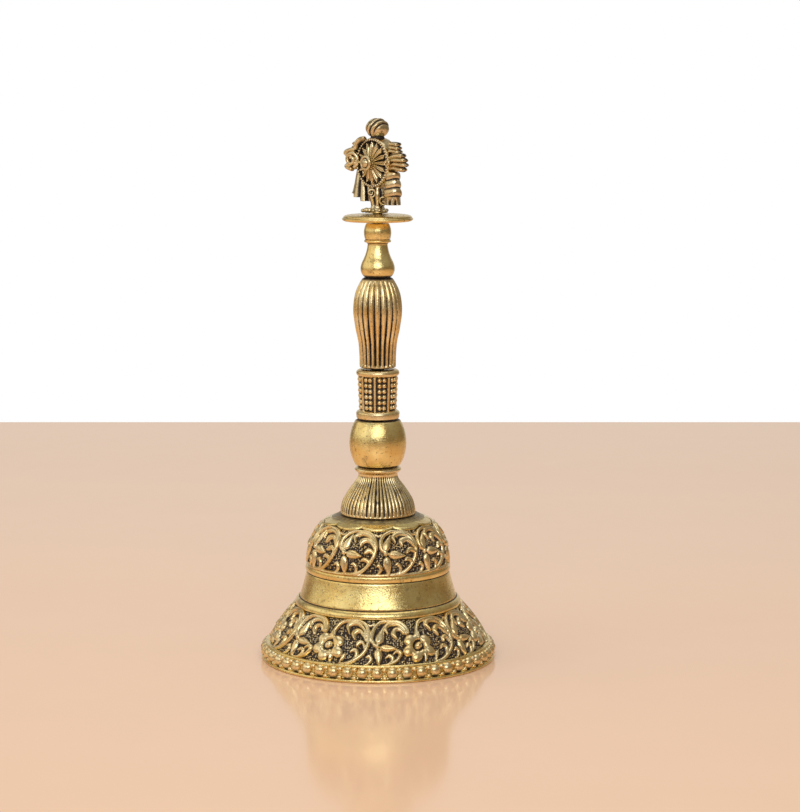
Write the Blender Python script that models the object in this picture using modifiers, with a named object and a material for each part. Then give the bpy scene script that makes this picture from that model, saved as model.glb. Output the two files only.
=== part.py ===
# A brass puja bell: a cast bowl with a hanging clapper, a handle stacked on a tie rod, and a wheel finial.
# Lengths are in metres and +Z is up. The origin is the centre of the circle that the rim stands on.
import math

import bmesh
import bpy
import numpy as np
from mathutils import Matrix

MM = 0.001

# Clearances
JOINT_GAP = 0.3 * MM            # between the end faces of stacked pieces
BORE_GAP = 0.3 * MM             # all round a rod in its hole
TABLE_GAP = 1.5 * MM            # under the clapper's ball when it hangs still

# Bowl, from the table up
LIP_RADIUS = 37.2 * MM          # centre line of the round roll along the lip
ROLL_RADIUS = 1.95 * MM
FOOT_RING_REACH = 1.0 * MM      # the ring that stands on the table, outside that line
FOOT_RING_HEIGHT = 1.0 * MM
FILLET_HEIGHT = 0.7 * MM        # thin ring between the roll and the skirt
SKIRT_INSET = 0.3 * MM          # the skirt's lower edge, inside that line
SKIRT_HEIGHT = 12.0 * MM
SKIRT_BOW = 0.7 * MM            # how far the skirt swells out between its ends
WAIST_RADIUS = 26.1 * MM        # lower edge of the smooth band
SKIRT_STEP = 2.1 * MM           # the skirt's upper edge, outside the band
LOW_LEDGE_REACH = 1.5 * MM      # the lower ledge, outside the band
LOW_LEDGE_HEIGHT = 2.7 * MM
BAND_HIGH_RADIUS = 23.7 * MM
BAND_HEIGHT = 8.7 * MM
BAND_BOW = -0.45 * MM           # the smooth band is hollow
HIGH_LEDGE_REACH = 0.2 * MM     # the upper ledge and the dome's lower edge, outside the band
HIGH_LEDGE_HEIGHT = 2.6 * MM
SHOULDER_RADIUS = 18.2 * MM
DOME_HEIGHT = 14.4 * MM
DOME_BOW = 1.9 * MM
CROWN_INSET = 2.2 * MM          # the crown disc, inside the shoulder
CROWN_STEP = 1.9 * MM           # height of the crown disc above the shoulder
CROWN_WALL = 2.8 * MM
BOWL_WALL = 2.6 * MM
LIP_WALL = 4.0 * MM

# Handle foot
FOOT_RADIUS = 12.0 * MM
FOOT_RIM_HEIGHT = 3.1 * MM
FOOT_WAIST_RADIUS = 6.2 * MM
FOOT_COLLAR_RADIUS = 7.65 * MM
FOOT_COLLAR_HEIGHT = 1.7 * MM
FOOT_HEIGHT = 15.8 * MM

# Handle ball
BALL_RADIUS = 9.4 * MM
BALL_STRETCH = 1.28             # height of the full egg over its width
BALL_HEIGHT = 15.1 * MM

# Beaded drum with its two collars
DRUM_LOW_RADIUS = 6.15 * MM
DRUM_HIGH_RADIUS = 6.6 * MM
DRUM_HEIGHT = 16.5 * MM
LOW_COLLAR_RADIUS = 7.3 * MM
LOW_COLLAR_HEIGHT = 3.0 * MM
HIGH_COLLAR_RADIUS = 7.1 * MM
HIGH_COLLAR_HEIGHT = 2.3 * MM
COLLAR_EDGE = 0.6 * MM          # rounding of the collars

# Fluted grip
GRIP_LOW_RADIUS = 5.85 * MM
GRIP_BELLY_RADIUS = 8.05 * MM
GRIP_TOP_RADIUS = 4.8 * MM
GRIP_HEIGHT = 29.8 * MM
GRIP_BELLY = 0.64               # how far up the widest part is

# Neck
NECK_BULB_RADIUS = 5.6 * MM
NECK_BASE_RADIUS = 4.6 * MM
NECK_WAIST_RADIUS = 3.3 * MM
NECK_RING_RADIUS = 4.3 * MM
NECK_BALL_RADIUS = 4.45 * MM
NECK_TOP_RADIUS = 3.7 * MM
NECK_BULB_HEIGHT = 6.2 * MM
NECK_WAIST_HEIGHT = 4.9 * MM
NECK_RING_HEIGHT = 1.3 * MM
NECK_BALL_HEIGHT = 5.0 * MM

# Plate and finial
PLATE_RADIUS = 11.6 * MM
PLATE_HEIGHT = 2.8 * MM
PLATE_EDGE = 0.9 * MM           # bevel of the plate's edge
PEDESTAL_HEIGHT = 8.15 * MM
PEDESTAL_BASE_RADIUS = 3.6 * MM
PEDESTAL_STEM_RADIUS = 2.5 * MM
WHEEL_RADIUS = 8.05 * MM
WHEEL_WIDTH = 4.6 * MM
WHEEL_TURN = math.radians(-50)  # the wheel's face looks to the front left
FACE_RISE = 1.4 * MM            # the cone of petals on each face
HUB_RADIUS = 2.6 * MM
HUB_REACH = 3.8 * MM            # how far a hub stands out from its face
KNOB_HEIGHT = 6.35 * MM
KNOB_RADIUS = 3.85 * MM
FLAME_LENGTH = 7.0 * MM
FLAME_RADIUS = 1.45 * MM
FLAME_THICKNESS = 2.3           # each tongue is this many times wider than it is high
FLAMES_PER_SIDE = 4
FLAME_PITCH = 2.3 * MM
RIBBON_DROP = 9.6 * MM
RIBBON_LOW_RADIUS = 1.55 * MM
RIBBON_HIGH_RADIUS = 1.0 * MM
RIBBON_PITCH = 2.2 * MM
RIBBON_FOLDS = 3

# Rods
TIE_ROD_RADIUS = 2.0 * MM
TIE_ROD_IN_NECK = 5.0 * MM      # how far the tie rod reaches into the neck
STUD_RADIUS = 1.5 * MM
STUD_IN_NECK = 4.5 * MM
STUD_IN_FINIAL = 4.6 * MM

# Hanger inside the bowl
WASHER_RADIUS = 7.0 * MM
WASHER_HEIGHT = 1.0 * MM
NUT_ACROSS_CORNERS = 11.5 * MM
NUT_HEIGHT = 5.6 * MM
NUT_LIP_HEIGHT = 1.3 * MM       # the floor that the swivel's head rests on
SWIVEL_HEAD_EASE = 0.1 * MM     # the head is this much slimmer than the tie rod, to drop in before it
SWIVEL_HEAD_HEIGHT = 1.2 * MM
SWIVEL_SHANK_RADIUS = 1.0 * MM
EYE_RADIUS = 2.5 * MM
EYE_WIRE_RADIUS = 0.8 * MM
EYE_DROP = 0.4 * MM             # between the nut and the eye

# Clapper
LOOP_RADIUS = 2.3 * MM
LOOP_WIRE_RADIUS = 0.75 * MM
CLAPPER_ROD_RADIUS = 0.95 * MM
CLAPPER_BALL_RADIUS = 6.0 * MM
CLAPPER_ROD_IN_BALL = 5.0 * MM

# Radii and heights that follow from the sizes above
CROWN_RADIUS = SHOULDER_RADIUS - CROWN_INSET
HIGH_LEDGE_RADIUS = BAND_HIGH_RADIUS + HIGH_LEDGE_REACH
SWIVEL_HEAD_RADIUS = TIE_ROD_RADIUS - SWIVEL_HEAD_EASE
LIP_HEIGHT = FOOT_RING_HEIGHT + 2 * ROLL_RADIUS + FILLET_HEIGHT
LEDGE_Z = LIP_HEIGHT + SKIRT_HEIGHT
BAND_Z = LEDGE_Z + LOW_LEDGE_HEIGHT
HIGH_LEDGE_Z = BAND_Z + BAND_HEIGHT
DOME_Z = HIGH_LEDGE_Z + HIGH_LEDGE_HEIGHT
SHOULDER_Z = DOME_Z + DOME_HEIGHT
BOWL_HEIGHT = SHOULDER_Z + CROWN_STEP
FOOT_Z = BOWL_HEIGHT + JOINT_GAP
BALL_Z = FOOT_Z + FOOT_HEIGHT + JOINT_GAP
DRUM_Z = BALL_Z + BALL_HEIGHT + JOINT_GAP
GRIP_Z = DRUM_Z + DRUM_HEIGHT + JOINT_GAP
NECK_Z = GRIP_Z + GRIP_HEIGHT + JOINT_GAP
NECK_HEIGHT = NECK_BULB_HEIGHT + NECK_WAIST_HEIGHT + NECK_RING_HEIGHT + NECK_BALL_HEIGHT
PLATE_Z = NECK_Z + NECK_HEIGHT + JOINT_GAP
FINIAL_Z = PLATE_Z + PLATE_HEIGHT + JOINT_GAP
WHEEL_Z = FINIAL_Z + PEDESTAL_HEIGHT + WHEEL_RADIUS
CROWN_UNDERSIDE_Z = BOWL_HEIGHT - CROWN_WALL
WASHER_Z = CROWN_UNDERSIDE_Z - JOINT_GAP - WASHER_HEIGHT
NUT_Z = WASHER_Z - JOINT_GAP - NUT_HEIGHT
SWIVEL_HEAD_Z = NUT_Z + NUT_LIP_HEIGHT + JOINT_GAP
TIE_ROD_Z = SWIVEL_HEAD_Z + SWIVEL_HEAD_HEIGHT + JOINT_GAP
EYE_Z = NUT_Z - EYE_DROP - EYE_WIRE_RADIUS - EYE_RADIUS
PIVOT_Z = EYE_Z - EYE_RADIUS    # the clapper swings about the lowest wire of the eye
LOOP_Z = PIVOT_Z + EYE_WIRE_RADIUS + BORE_GAP + LOOP_WIRE_RADIUS - LOOP_RADIUS
CLAPPER_BALL_Z = TABLE_GAP + CLAPPER_BALL_RADIUS

# Facets
BOWL_STEPS = 48
TURNED_STEPS = 28
ROD_SIDES = 16
MERGE = 1e-5


def clear_scene():
    for old in list(bpy.data.objects):
        bpy.data.objects.remove(old, do_unlink=True)


def new_collection(name):
    made = bpy.data.collections.new(name)
    bpy.context.scene.collection.children.link(made)
    return made


def finish(name, colour, roughness, metallic):
    made = bpy.data.materials.new(name)
    made.use_nodes = True
    shader = made.node_tree.nodes["Principled BSDF"]
    shader.inputs["Base Color"].default_value = (*colour, 1.0)
    shader.inputs["Roughness"].default_value = roughness
    shader.inputs["Metallic"].default_value = metallic
    made.diffuse_color = (*colour, 1.0)
    return made


def add_object(name, mesh, collection, material, location=(0, 0, 0)):
    made = bpy.data.objects.new(name, mesh)
    made.location = location
    mesh.materials.append(material)
    collection.objects.link(made)
    return made


def bowed(start, end, bow, count):
    """Points from start to end on a parabola that stands out by bow at its middle, to the outer side."""
    start = np.array(start)
    end = np.array(end)
    along = (end - start) / np.linalg.norm(end - start)
    out = np.array((-along[1], along[0]))
    t = np.linspace(0.0, 1.0, count)[:, None]
    return start + (end - start) * t + out * bow * 4 * t * (1 - t)


def arc(centre, radius, first, last, count):
    """Points on a circle about centre, from the angle first to the angle last in degrees."""
    angle = np.radians(np.linspace(first, last, count))
    return np.column_stack((centre[0] + radius * np.cos(angle), centre[1] + radius * np.sin(angle)))


def smooth_through(points, per_span):
    """A Catmull-Rom curve through the given points."""
    given = np.array(points)
    padded = np.vstack((2 * given[0] - given[1], given, 2 * given[-1] - given[-2]))
    t = np.linspace(0.0, 1.0, per_span, endpoint=False)[:, None]
    spans = []
    for a, b, c, d in zip(padded, padded[1:], padded[2:], padded[3:]):
        spans.append(0.5 * (2 * b + (c - a) * t + (2 * a - 5 * b + 4 * c - d) * t**2
                            + (3 * b - a - 3 * c + d) * t**3))
    return np.vstack(spans + [given[-1:]])


def pushed_in(line, depth):
    """The line moved to its inner side by depth, which may differ from point to point."""
    along = np.gradient(line, axis=0)
    along = along / np.linalg.norm(along, axis=1)[:, None]
    out = np.column_stack((-along[:, 1], along[:, 0]))
    return line - out * np.reshape(depth, (-1, 1))


def turned(name, outline, collection, material, base_z=0.0, steps=TURNED_STEPS, closed=True):
    """A solid of revolution. The outline is radius and height, and it runs down the outer side."""
    points = np.vstack(outline)
    count = len(points)
    verts = [(radius, 0.0, height) for radius, height in points]
    edges = [(i, i + 1) for i in range(count - 1)]
    if closed:
        edges.append((count - 1, 0))
    mesh = bpy.data.meshes.new(name)
    mesh.from_pydata(verts, edges, [])
    made = add_object(name, mesh, collection, material, (0, 0, base_z))
    screw = made.modifiers.new("turn", "SCREW")
    screw.steps = steps
    screw.render_steps = steps
    screw.use_merge_vertices = True
    screw.merge_threshold = MERGE
    screw.use_smooth_shade = True
    return made


def rod(name, radius, low, high, collection, material):
    """An upright round rod with its origin at its lower end."""
    outline = [[(0.0, high - low), (radius, high - low), (radius, 0.0), (0.0, 0.0)]]
    return turned(name, outline, collection, material, low, ROD_SIDES, closed=False)


def shaped(name, build, collection, material, place):
    """An object made from one bmesh primitive, placed in the world by the matrix place."""
    mesh = bpy.data.meshes.new(name)
    work = bmesh.new()
    build(work)
    work.to_mesh(mesh)
    work.free()
    mesh.shade_smooth()
    mesh.set_sharp_from_angle(angle=math.radians(40))
    made = add_object(name, mesh, collection, material)
    made.matrix_world = place
    return made


def cone_shape(low_radius, high_radius, length, sides=ROD_SIDES):
    def build(work):
        bmesh.ops.create_cone(work, cap_ends=True, segments=sides, radius1=low_radius,
                              radius2=high_radius, depth=length)
    return build


def ball_shape(radius, scale=(1, 1, 1), around=16, rings=10):
    def build(work):
        bmesh.ops.create_uvsphere(work, u_segments=around, v_segments=rings, radius=radius)
        bmesh.ops.scale(work, vec=scale, verts=work.verts)
    return build


def combine(target, tool, how, tools):
    """Join tool to target, or cut it away, with a live Boolean. The tool moves to the tools collection."""
    for user in list(tool.users_collection):
        user.objects.unlink(tool)
    tools.objects.link(tool)
    tool.hide_render = True
    tool.display_type = "WIRE"
    step = target.modifiers.new(how.lower(), "BOOLEAN")
    step.operation = how
    step.solver = "EXACT"
    step.object = tool


def torus_outline(ring_radius, wire_radius, sides=10):
    return arc((ring_radius, 0.0), wire_radius, 90, -270, sides + 1)[:-1]


def bowl_walls():
    """The smooth lines of skirt, band and dome, from the shoulder down, as the outer side has them."""
    dome = bowed((SHOULDER_RADIUS, SHOULDER_Z), (HIGH_LEDGE_RADIUS, DOME_Z), DOME_BOW, 8)
    band = bowed((BAND_HIGH_RADIUS, HIGH_LEDGE_Z), (WAIST_RADIUS, BAND_Z), BAND_BOW, 5)
    skirt = bowed((WAIST_RADIUS + SKIRT_STEP, LEDGE_Z), (LIP_RADIUS - SKIRT_INSET, LIP_HEIGHT), SKIRT_BOW, 6)
    return dome, band, skirt


def make_bowl(parts, brass):
    dome, band, skirt = bowl_walls()
    bore = TIE_ROD_RADIUS + BORE_GAP
    crown = [(bore, BOWL_HEIGHT), (CROWN_RADIUS, BOWL_HEIGHT), (CROWN_RADIUS, SHOULDER_Z)]
    high_ledge = [(HIGH_LEDGE_RADIUS, DOME_Z - 0.2 * HIGH_LEDGE_HEIGHT),
                  (HIGH_LEDGE_RADIUS, HIGH_LEDGE_Z + 0.2 * HIGH_LEDGE_HEIGHT)]
    ledge_round = LOW_LEDGE_HEIGHT / 2
    ledge_middle = (WAIST_RADIUS + LOW_LEDGE_REACH - ledge_round, BAND_Z - ledge_round)
    low_ledge = arc(ledge_middle, ledge_round, 60, -40, 5)
    roll_z = FOOT_RING_HEIGHT + ROLL_RADIUS
    roll = arc((LIP_RADIUS, roll_z), ROLL_RADIUS, 75, -65, 8)
    foot_ring = [(LIP_RADIUS + FOOT_RING_REACH, 0.0)]
    outer = np.vstack((crown, dome, high_ledge, band, low_ledge, skirt, roll, foot_ring))
    wall_line = np.vstack((dome, band[1:], skirt[1:]))
    wall = np.interp(wall_line[:, 1], (LIP_HEIGHT, LEDGE_Z), (LIP_WALL, BOWL_WALL))
    inside = pushed_in(wall_line, wall)[::-1]
    foot_inside = [(inside[0, 0] - 0.1 * LIP_WALL, 0.0)]
    crown_inside = [(CROWN_RADIUS - BOWL_WALL, CROWN_UNDERSIDE_Z), (bore, CROWN_UNDERSIDE_Z)]
    outline = [outer, foot_inside, inside, crown_inside]
    return turned("bell_bowl", outline, parts, brass, steps=BOWL_STEPS)


def make_foot(parts, brass):
    bore = TIE_ROD_RADIUS + BORE_GAP
    collar_z = FOOT_HEIGHT - FOOT_COLLAR_HEIGHT
    rise = collar_z - FOOT_RIM_HEIGHT
    flare = FOOT_RADIUS - FOOT_WAIST_RADIUS
    side = smooth_through([(FOOT_WAIST_RADIUS + 0.08 * flare, collar_z),
                           (FOOT_WAIST_RADIUS, collar_z - 0.18 * rise),
                           (FOOT_WAIST_RADIUS + 0.25 * flare, collar_z - 0.40 * rise),
                           (FOOT_WAIST_RADIUS + 0.62 * flare, collar_z - 0.68 * rise),
                           (FOOT_RADIUS, FOOT_RIM_HEIGHT)], 3)
    outline = [[(bore, FOOT_HEIGHT), (FOOT_COLLAR_RADIUS, FOOT_HEIGHT), (FOOT_COLLAR_RADIUS, collar_z)],
               side, [(FOOT_RADIUS, 0.0), (bore, 0.0)]]
    return turned("handle_foot", outline, parts, brass, FOOT_Z)


def make_handle_ball(parts, brass):
    """An egg cut off flat at both ends: its radius is that of an ellipse at each height."""
    bore = TIE_ROD_RADIUS + BORE_GAP
    height = np.linspace(BALL_HEIGHT, 0.0, 10)
    from_middle = (height - BALL_HEIGHT / 2) / (BALL_RADIUS * BALL_STRETCH)
    side = np.column_stack((BALL_RADIUS * np.sqrt(1 - from_middle**2), height))
    outline = [[(bore, BALL_HEIGHT)], side, [(bore, 0.0)]]
    return turned("handle_ball", outline, parts, brass, BALL_Z)


def collar(radius, low, high):
    """A ring with rounded edges, as the outer side from high to low."""
    return np.vstack((arc((radius - COLLAR_EDGE, high - COLLAR_EDGE), COLLAR_EDGE, 80, 0, 3),
                      arc((radius - COLLAR_EDGE, low + COLLAR_EDGE), COLLAR_EDGE, 0, -80, 3)))


def make_drum(parts, brass):
    bore = TIE_ROD_RADIUS + BORE_GAP
    high_z = DRUM_HEIGHT - HIGH_COLLAR_HEIGHT
    outline = [[(bore, DRUM_HEIGHT)], collar(HIGH_COLLAR_RADIUS, high_z, DRUM_HEIGHT),
               [(DRUM_HIGH_RADIUS, high_z), (DRUM_LOW_RADIUS, LOW_COLLAR_HEIGHT)],
               collar(LOW_COLLAR_RADIUS, 0.0, LOW_COLLAR_HEIGHT), [(bore, 0.0)]]
    return turned("beaded_drum", outline, parts, brass, DRUM_Z)


def make_grip(parts, brass):
    bore = TIE_ROD_RADIUS + BORE_GAP
    swell = GRIP_BELLY_RADIUS - GRIP_LOW_RADIUS
    above = 1 - GRIP_BELLY
    cheek = GRIP_BELLY_RADIUS - GRIP_TOP_RADIUS
    side = smooth_through([(GRIP_TOP_RADIUS, GRIP_HEIGHT),
                           (GRIP_TOP_RADIUS + 0.5 * cheek, GRIP_HEIGHT * (GRIP_BELLY + 0.75 * above)),
                           (GRIP_TOP_RADIUS + 0.87 * cheek, GRIP_HEIGHT * (GRIP_BELLY + 0.48 * above)),
                           (GRIP_BELLY_RADIUS, GRIP_HEIGHT * GRIP_BELLY),
                           (GRIP_LOW_RADIUS + 0.7 * swell, GRIP_HEIGHT * 0.62 * GRIP_BELLY),
                           (GRIP_LOW_RADIUS + 0.2 * swell, GRIP_HEIGHT * 0.30 * GRIP_BELLY),
                           (GRIP_LOW_RADIUS, 0.0)], 2)
    outline = [[(bore, GRIP_HEIGHT)], side, [(bore, 0.0)]]
    return turned("fluted_grip", outline, parts, brass, GRIP_Z)


def make_neck(parts, brass):
    """The bulb, waist, ring and ball under the plate, with a blind hole for a rod at each end."""
    rod_bore = TIE_ROD_RADIUS + BORE_GAP
    stud_bore = STUD_RADIUS + BORE_GAP
    ring_z = NECK_BULB_HEIGHT + NECK_WAIST_HEIGHT
    ball_z = ring_z + NECK_RING_HEIGHT
    ball = bowed((NECK_TOP_RADIUS, NECK_HEIGHT), (NECK_TOP_RADIUS + 0.2 * MM, ball_z),
                 NECK_BALL_RADIUS - NECK_TOP_RADIUS - 0.1 * MM, 5)
    ring = [(NECK_RING_RADIUS, ball_z - 0.1 * NECK_RING_HEIGHT), (NECK_RING_RADIUS, ring_z)]
    bulb = NECK_BULB_RADIUS - NECK_WAIST_RADIUS
    side = smooth_through([(NECK_WAIST_RADIUS + 0.05 * bulb, ring_z - 0.05 * NECK_WAIST_HEIGHT),
                           (NECK_WAIST_RADIUS, NECK_BULB_HEIGHT + 0.7 * NECK_WAIST_HEIGHT),
                           (NECK_WAIST_RADIUS + 0.4 * bulb, NECK_BULB_HEIGHT + 0.13 * NECK_WAIST_HEIGHT),
                           (NECK_BULB_RADIUS, 0.47 * NECK_BULB_HEIGHT),
                           (NECK_BASE_RADIUS, 0.0)], 3)
    stud_hole = NECK_HEIGHT - STUD_IN_NECK - JOINT_GAP
    rod_hole = TIE_ROD_IN_NECK + JOINT_GAP
    outline = [[(0.0, stud_hole), (stud_bore, stud_hole), (stud_bore, NECK_HEIGHT)], ball, ring, side,
               [(rod_bore, 0.0), (rod_bore, rod_hole), (0.0, rod_hole)]]
    return turned("handle_neck", outline, parts, brass, NECK_Z, closed=False)


def make_plate(parts, brass):
    bore = STUD_RADIUS + BORE_GAP
    edge = arc((PLATE_RADIUS - PLATE_EDGE, PLATE_HEIGHT - PLATE_EDGE), PLATE_EDGE, 90, 0, 4)
    foot = arc((PLATE_RADIUS - PLATE_EDGE, PLATE_EDGE), PLATE_EDGE, 0, -90, 4)
    outline = [[(bore, PLATE_HEIGHT)], edge, foot, [(bore, 0.0)]]
    return turned("finial_plate", outline, parts, brass, PLATE_Z)


def finial_space():
    """The wheel's own frame: its centre on the bell's axis, its axle along Y before it is turned."""
    return Matrix.Translation((0, 0, WHEEL_Z)) @ Matrix.Rotation(WHEEL_TURN, 4, "Z")


def flame_tongues(side, parts, brass):
    """A fan of flat tongues on one side of the wheel, seated in its rim."""
    made = []
    for k in range(FLAMES_PER_SIDE):
        height = (k - (FLAMES_PER_SIDE - 1) / 2) * FLAME_PITCH
        tilt = math.atan2(height, 2 * WHEEL_RADIUS)
        reach = math.sqrt(WHEEL_RADIUS**2 - height**2) - 1.5 * MM + FLAME_LENGTH / 2
        place = finial_space() @ Matrix.Translation((side * reach, 0, height))
        place = place @ Matrix.Rotation(side * (math.pi / 2 - tilt), 4, "Y")
        place = place @ Matrix.Diagonal((1, FLAME_THICKNESS, 1, 1))
        build = cone_shape(FLAME_RADIUS, 0.45 * FLAME_RADIUS, FLAME_LENGTH, 10)
        made.append(shaped(f"flame_{k}", build, parts, brass, place))
    return made


def ribbon_folds(side, parts, brass):
    """The hanging folds of the ribbon on one side, seated in the wheel's rim and in each other."""
    made = []
    for k in range(RIBBON_FOLDS):
        across = 0.62 * WHEEL_RADIUS + k * RIBBON_PITCH
        top = -0.35 * WHEEL_RADIUS
        place = finial_space() @ Matrix.Translation((side * across, 0, top - RIBBON_DROP / 2))
        build = cone_shape(RIBBON_LOW_RADIUS, RIBBON_HIGH_RADIUS + 0.4 * MM, RIBBON_DROP - k * MM, 10)
        made.append(shaped(f"fold_{k}", build, parts, brass, place))
    return made


def make_finial(parts, tools, brass):
    """Wheel with hubs, knob, flames, ribbons and pedestal as one casting, with a hole for the stud."""
    to_axle = finial_space() @ Matrix.Rotation(math.pi / 2, 4, "X")
    wheel = shaped("chakra_finial", cone_shape(WHEEL_RADIUS, WHEEL_RADIUS, WHEEL_WIDTH, 32),
                   parts, brass, to_axle)
    joined = []
    for side in (1, -1):
        flip = Matrix.Rotation(math.pi * (side < 0), 4, "X")
        face = Matrix.Translation((0, 0, (WHEEL_WIDTH + FACE_RISE) / 2 - 0.1 * MM))
        cone = cone_shape(0.82 * WHEEL_RADIUS, 1.25 * HUB_RADIUS, FACE_RISE, 24)
        joined.append(shaped("petal_face", cone, parts, brass, to_axle @ flip @ face))
        joined += flame_tongues(side, parts, brass)
        joined += ribbon_folds(side, parts, brass)
    hub_length = WHEEL_WIDTH + 2 * HUB_REACH
    joined.append(shaped("hub", cone_shape(HUB_RADIUS, HUB_RADIUS, hub_length, 16), parts, brass, to_axle))
    sink = 0.6 * MM
    knob_place = finial_space() @ Matrix.Translation((0, 0, WHEEL_RADIUS + KNOB_HEIGHT / 2 - sink / 2))
    squeeze = (KNOB_HEIGHT + sink) / (2 * KNOB_RADIUS)
    joined.append(shaped("knob", ball_shape(KNOB_RADIUS, (1, 1, squeeze)), parts, brass, knob_place))
    into_wheel = PEDESTAL_HEIGHT + 1.2 * MM
    stem = smooth_through([(PEDESTAL_STEM_RADIUS, into_wheel), (PEDESTAL_STEM_RADIUS, 0.75 * PEDESTAL_HEIGHT),
                           (1.25 * PEDESTAL_STEM_RADIUS, 0.5 * PEDESTAL_HEIGHT),
                           (PEDESTAL_STEM_RADIUS, 0.28 * PEDESTAL_HEIGHT),
                           (PEDESTAL_BASE_RADIUS, 0.0)], 3)
    pedestal = turned("pedestal", [[(0.0, into_wheel)], stem, [(0.0, 0.0)]], parts, brass, FINIAL_Z,
                      steps=20, closed=False)
    joined.append(pedestal)
    for piece in joined:
        combine(wheel, piece, "UNION", tools)
    depth = STUD_IN_FINIAL + JOINT_GAP
    hole = rod("stud_hole", STUD_RADIUS + BORE_GAP, FINIAL_Z - 1.0 * MM, FINIAL_Z + depth, parts, brass)
    combine(wheel, hole, "DIFFERENCE", tools)
    return wheel


def make_rods(parts, steel):
    rod("tie_rod", TIE_ROD_RADIUS, TIE_ROD_Z, NECK_Z + TIE_ROD_IN_NECK, parts, steel)
    stud_low = NECK_Z + NECK_HEIGHT - STUD_IN_NECK
    rod("finial_stud", STUD_RADIUS, stud_low, FINIAL_Z + STUD_IN_FINIAL, parts, steel)


def make_washer(parts, brass):
    bore = TIE_ROD_RADIUS + BORE_GAP
    outline = [[(bore, WASHER_HEIGHT), (WASHER_RADIUS, WASHER_HEIGHT), (WASHER_RADIUS, 0.0), (bore, 0.0)]]
    return turned("crown_washer", outline, parts, brass, WASHER_Z)


def make_nut(parts, tools, brass):
    """A hexagon nut with a through hole. The hole is narrow at the floor, to hold the swivel's head."""
    place = Matrix.Translation((0, 0, NUT_Z + NUT_HEIGHT / 2))
    hexagon = cone_shape(NUT_ACROSS_CORNERS / 2, NUT_ACROSS_CORNERS / 2, NUT_HEIGHT, 6)
    nut = shaped("hanger_nut", hexagon, parts, brass, place)
    over = 1.0 * MM
    rod_hole = rod("rod_hole", TIE_ROD_RADIUS + BORE_GAP, NUT_Z + NUT_LIP_HEIGHT, NUT_Z + NUT_HEIGHT + over,
                   parts, brass)
    shank_hole = rod("shank_hole", SWIVEL_SHANK_RADIUS + BORE_GAP, NUT_Z - over,
                     NUT_Z + NUT_LIP_HEIGHT + over, parts, brass)
    combine(nut, rod_hole, "DIFFERENCE", tools)
    combine(nut, shank_hole, "DIFFERENCE", tools)
    return nut


def ring_on_edge(name, ring_radius, wire_radius, height, about, parts, material):
    """A wire ring standing on edge, with its axis along X or Y."""
    ring = turned(name, [torus_outline(ring_radius, wire_radius)], parts, material, height, steps=24)
    ring.rotation_euler = (0, math.pi / 2, 0) if about == "X" else (math.pi / 2, 0, 0)
    return ring


def make_swivel(parts, tools, steel):
    """An eye on a shank whose head is caught in the nut. Its origin is on the upright axis it turns about."""
    eye = ring_on_edge("swivel_eye", EYE_RADIUS, EYE_WIRE_RADIUS, EYE_Z, "Y", parts, steel)
    shank = rod("shank", SWIVEL_SHANK_RADIUS, EYE_Z + EYE_RADIUS - 0.3 * EYE_WIRE_RADIUS,
                SWIVEL_HEAD_Z + 0.5 * SWIVEL_HEAD_HEIGHT, parts, steel)
    head = rod("head", SWIVEL_HEAD_RADIUS, SWIVEL_HEAD_Z, SWIVEL_HEAD_Z + SWIVEL_HEAD_HEIGHT, parts, steel)
    combine(eye, shank, "UNION", tools)
    combine(eye, head, "UNION", tools)
    return eye


def make_clapper(parts, tools, steel, brass):
    """A looped rod and a ball on a pivot empty at the wire of the eye, about which both swing."""
    pivot = bpy.data.objects.new("clapper_pivot", None)
    pivot.location = (0, 0, PIVOT_Z)
    parts.objects.link(pivot)
    loop = ring_on_edge("clapper_rod", LOOP_RADIUS, LOOP_WIRE_RADIUS, LOOP_Z, "X", parts, steel)
    rod_top = LOOP_Z - LOOP_RADIUS + 0.2 * LOOP_WIRE_RADIUS
    hole_top = CLAPPER_BALL_Z + CLAPPER_BALL_RADIUS
    rod_low = hole_top - CLAPPER_ROD_IN_BALL
    stem = rod("stem", CLAPPER_ROD_RADIUS, rod_low, rod_top, parts, steel)
    combine(loop, stem, "UNION", tools)
    ball = shaped("clapper_ball", ball_shape(CLAPPER_BALL_RADIUS, (1, 1, 1), 20, 14), parts, brass,
                  Matrix.Translation((0, 0, CLAPPER_BALL_Z)))
    hole = rod("ball_hole", CLAPPER_ROD_RADIUS + BORE_GAP, rod_low - JOINT_GAP, hole_top + 1.0 * MM,
               parts, brass)
    combine(ball, hole, "DIFFERENCE", tools)
    bpy.context.view_layer.update()
    for piece in (loop, ball):
        kept = piece.matrix_world.copy()
        piece.parent = pivot
        piece.matrix_parent_inverse = pivot.matrix_world.inverted()
        piece.matrix_world = kept


def main():
    clear_scene()
    parts = new_collection("brass puja bell")
    tools = new_collection("joining and cutting shapes")
    aged = finish("aged_brass", (0.55, 0.38, 0.14), 0.38, 1.0)
    polished = finish("polished_brass", (0.72, 0.52, 0.22), 0.26, 1.0)
    plain = finish("plain_brass", (0.60, 0.43, 0.18), 0.42, 1.0)
    steel = finish("dark_steel", (0.20, 0.19, 0.18), 0.45, 1.0)
    make_bowl(parts, aged)
    make_foot(parts, aged)
    make_handle_ball(parts, polished)
    make_drum(parts, aged)
    make_grip(parts, aged)
    make_neck(parts, polished)
    make_plate(parts, polished)
    make_finial(parts, tools, aged)
    make_rods(parts, steel)
    make_washer(parts, plain)
    make_nut(parts, tools, plain)
    make_swivel(parts, tools, steel)
    make_clapper(parts, tools, steel, plain)


main()
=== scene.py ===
import math

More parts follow.
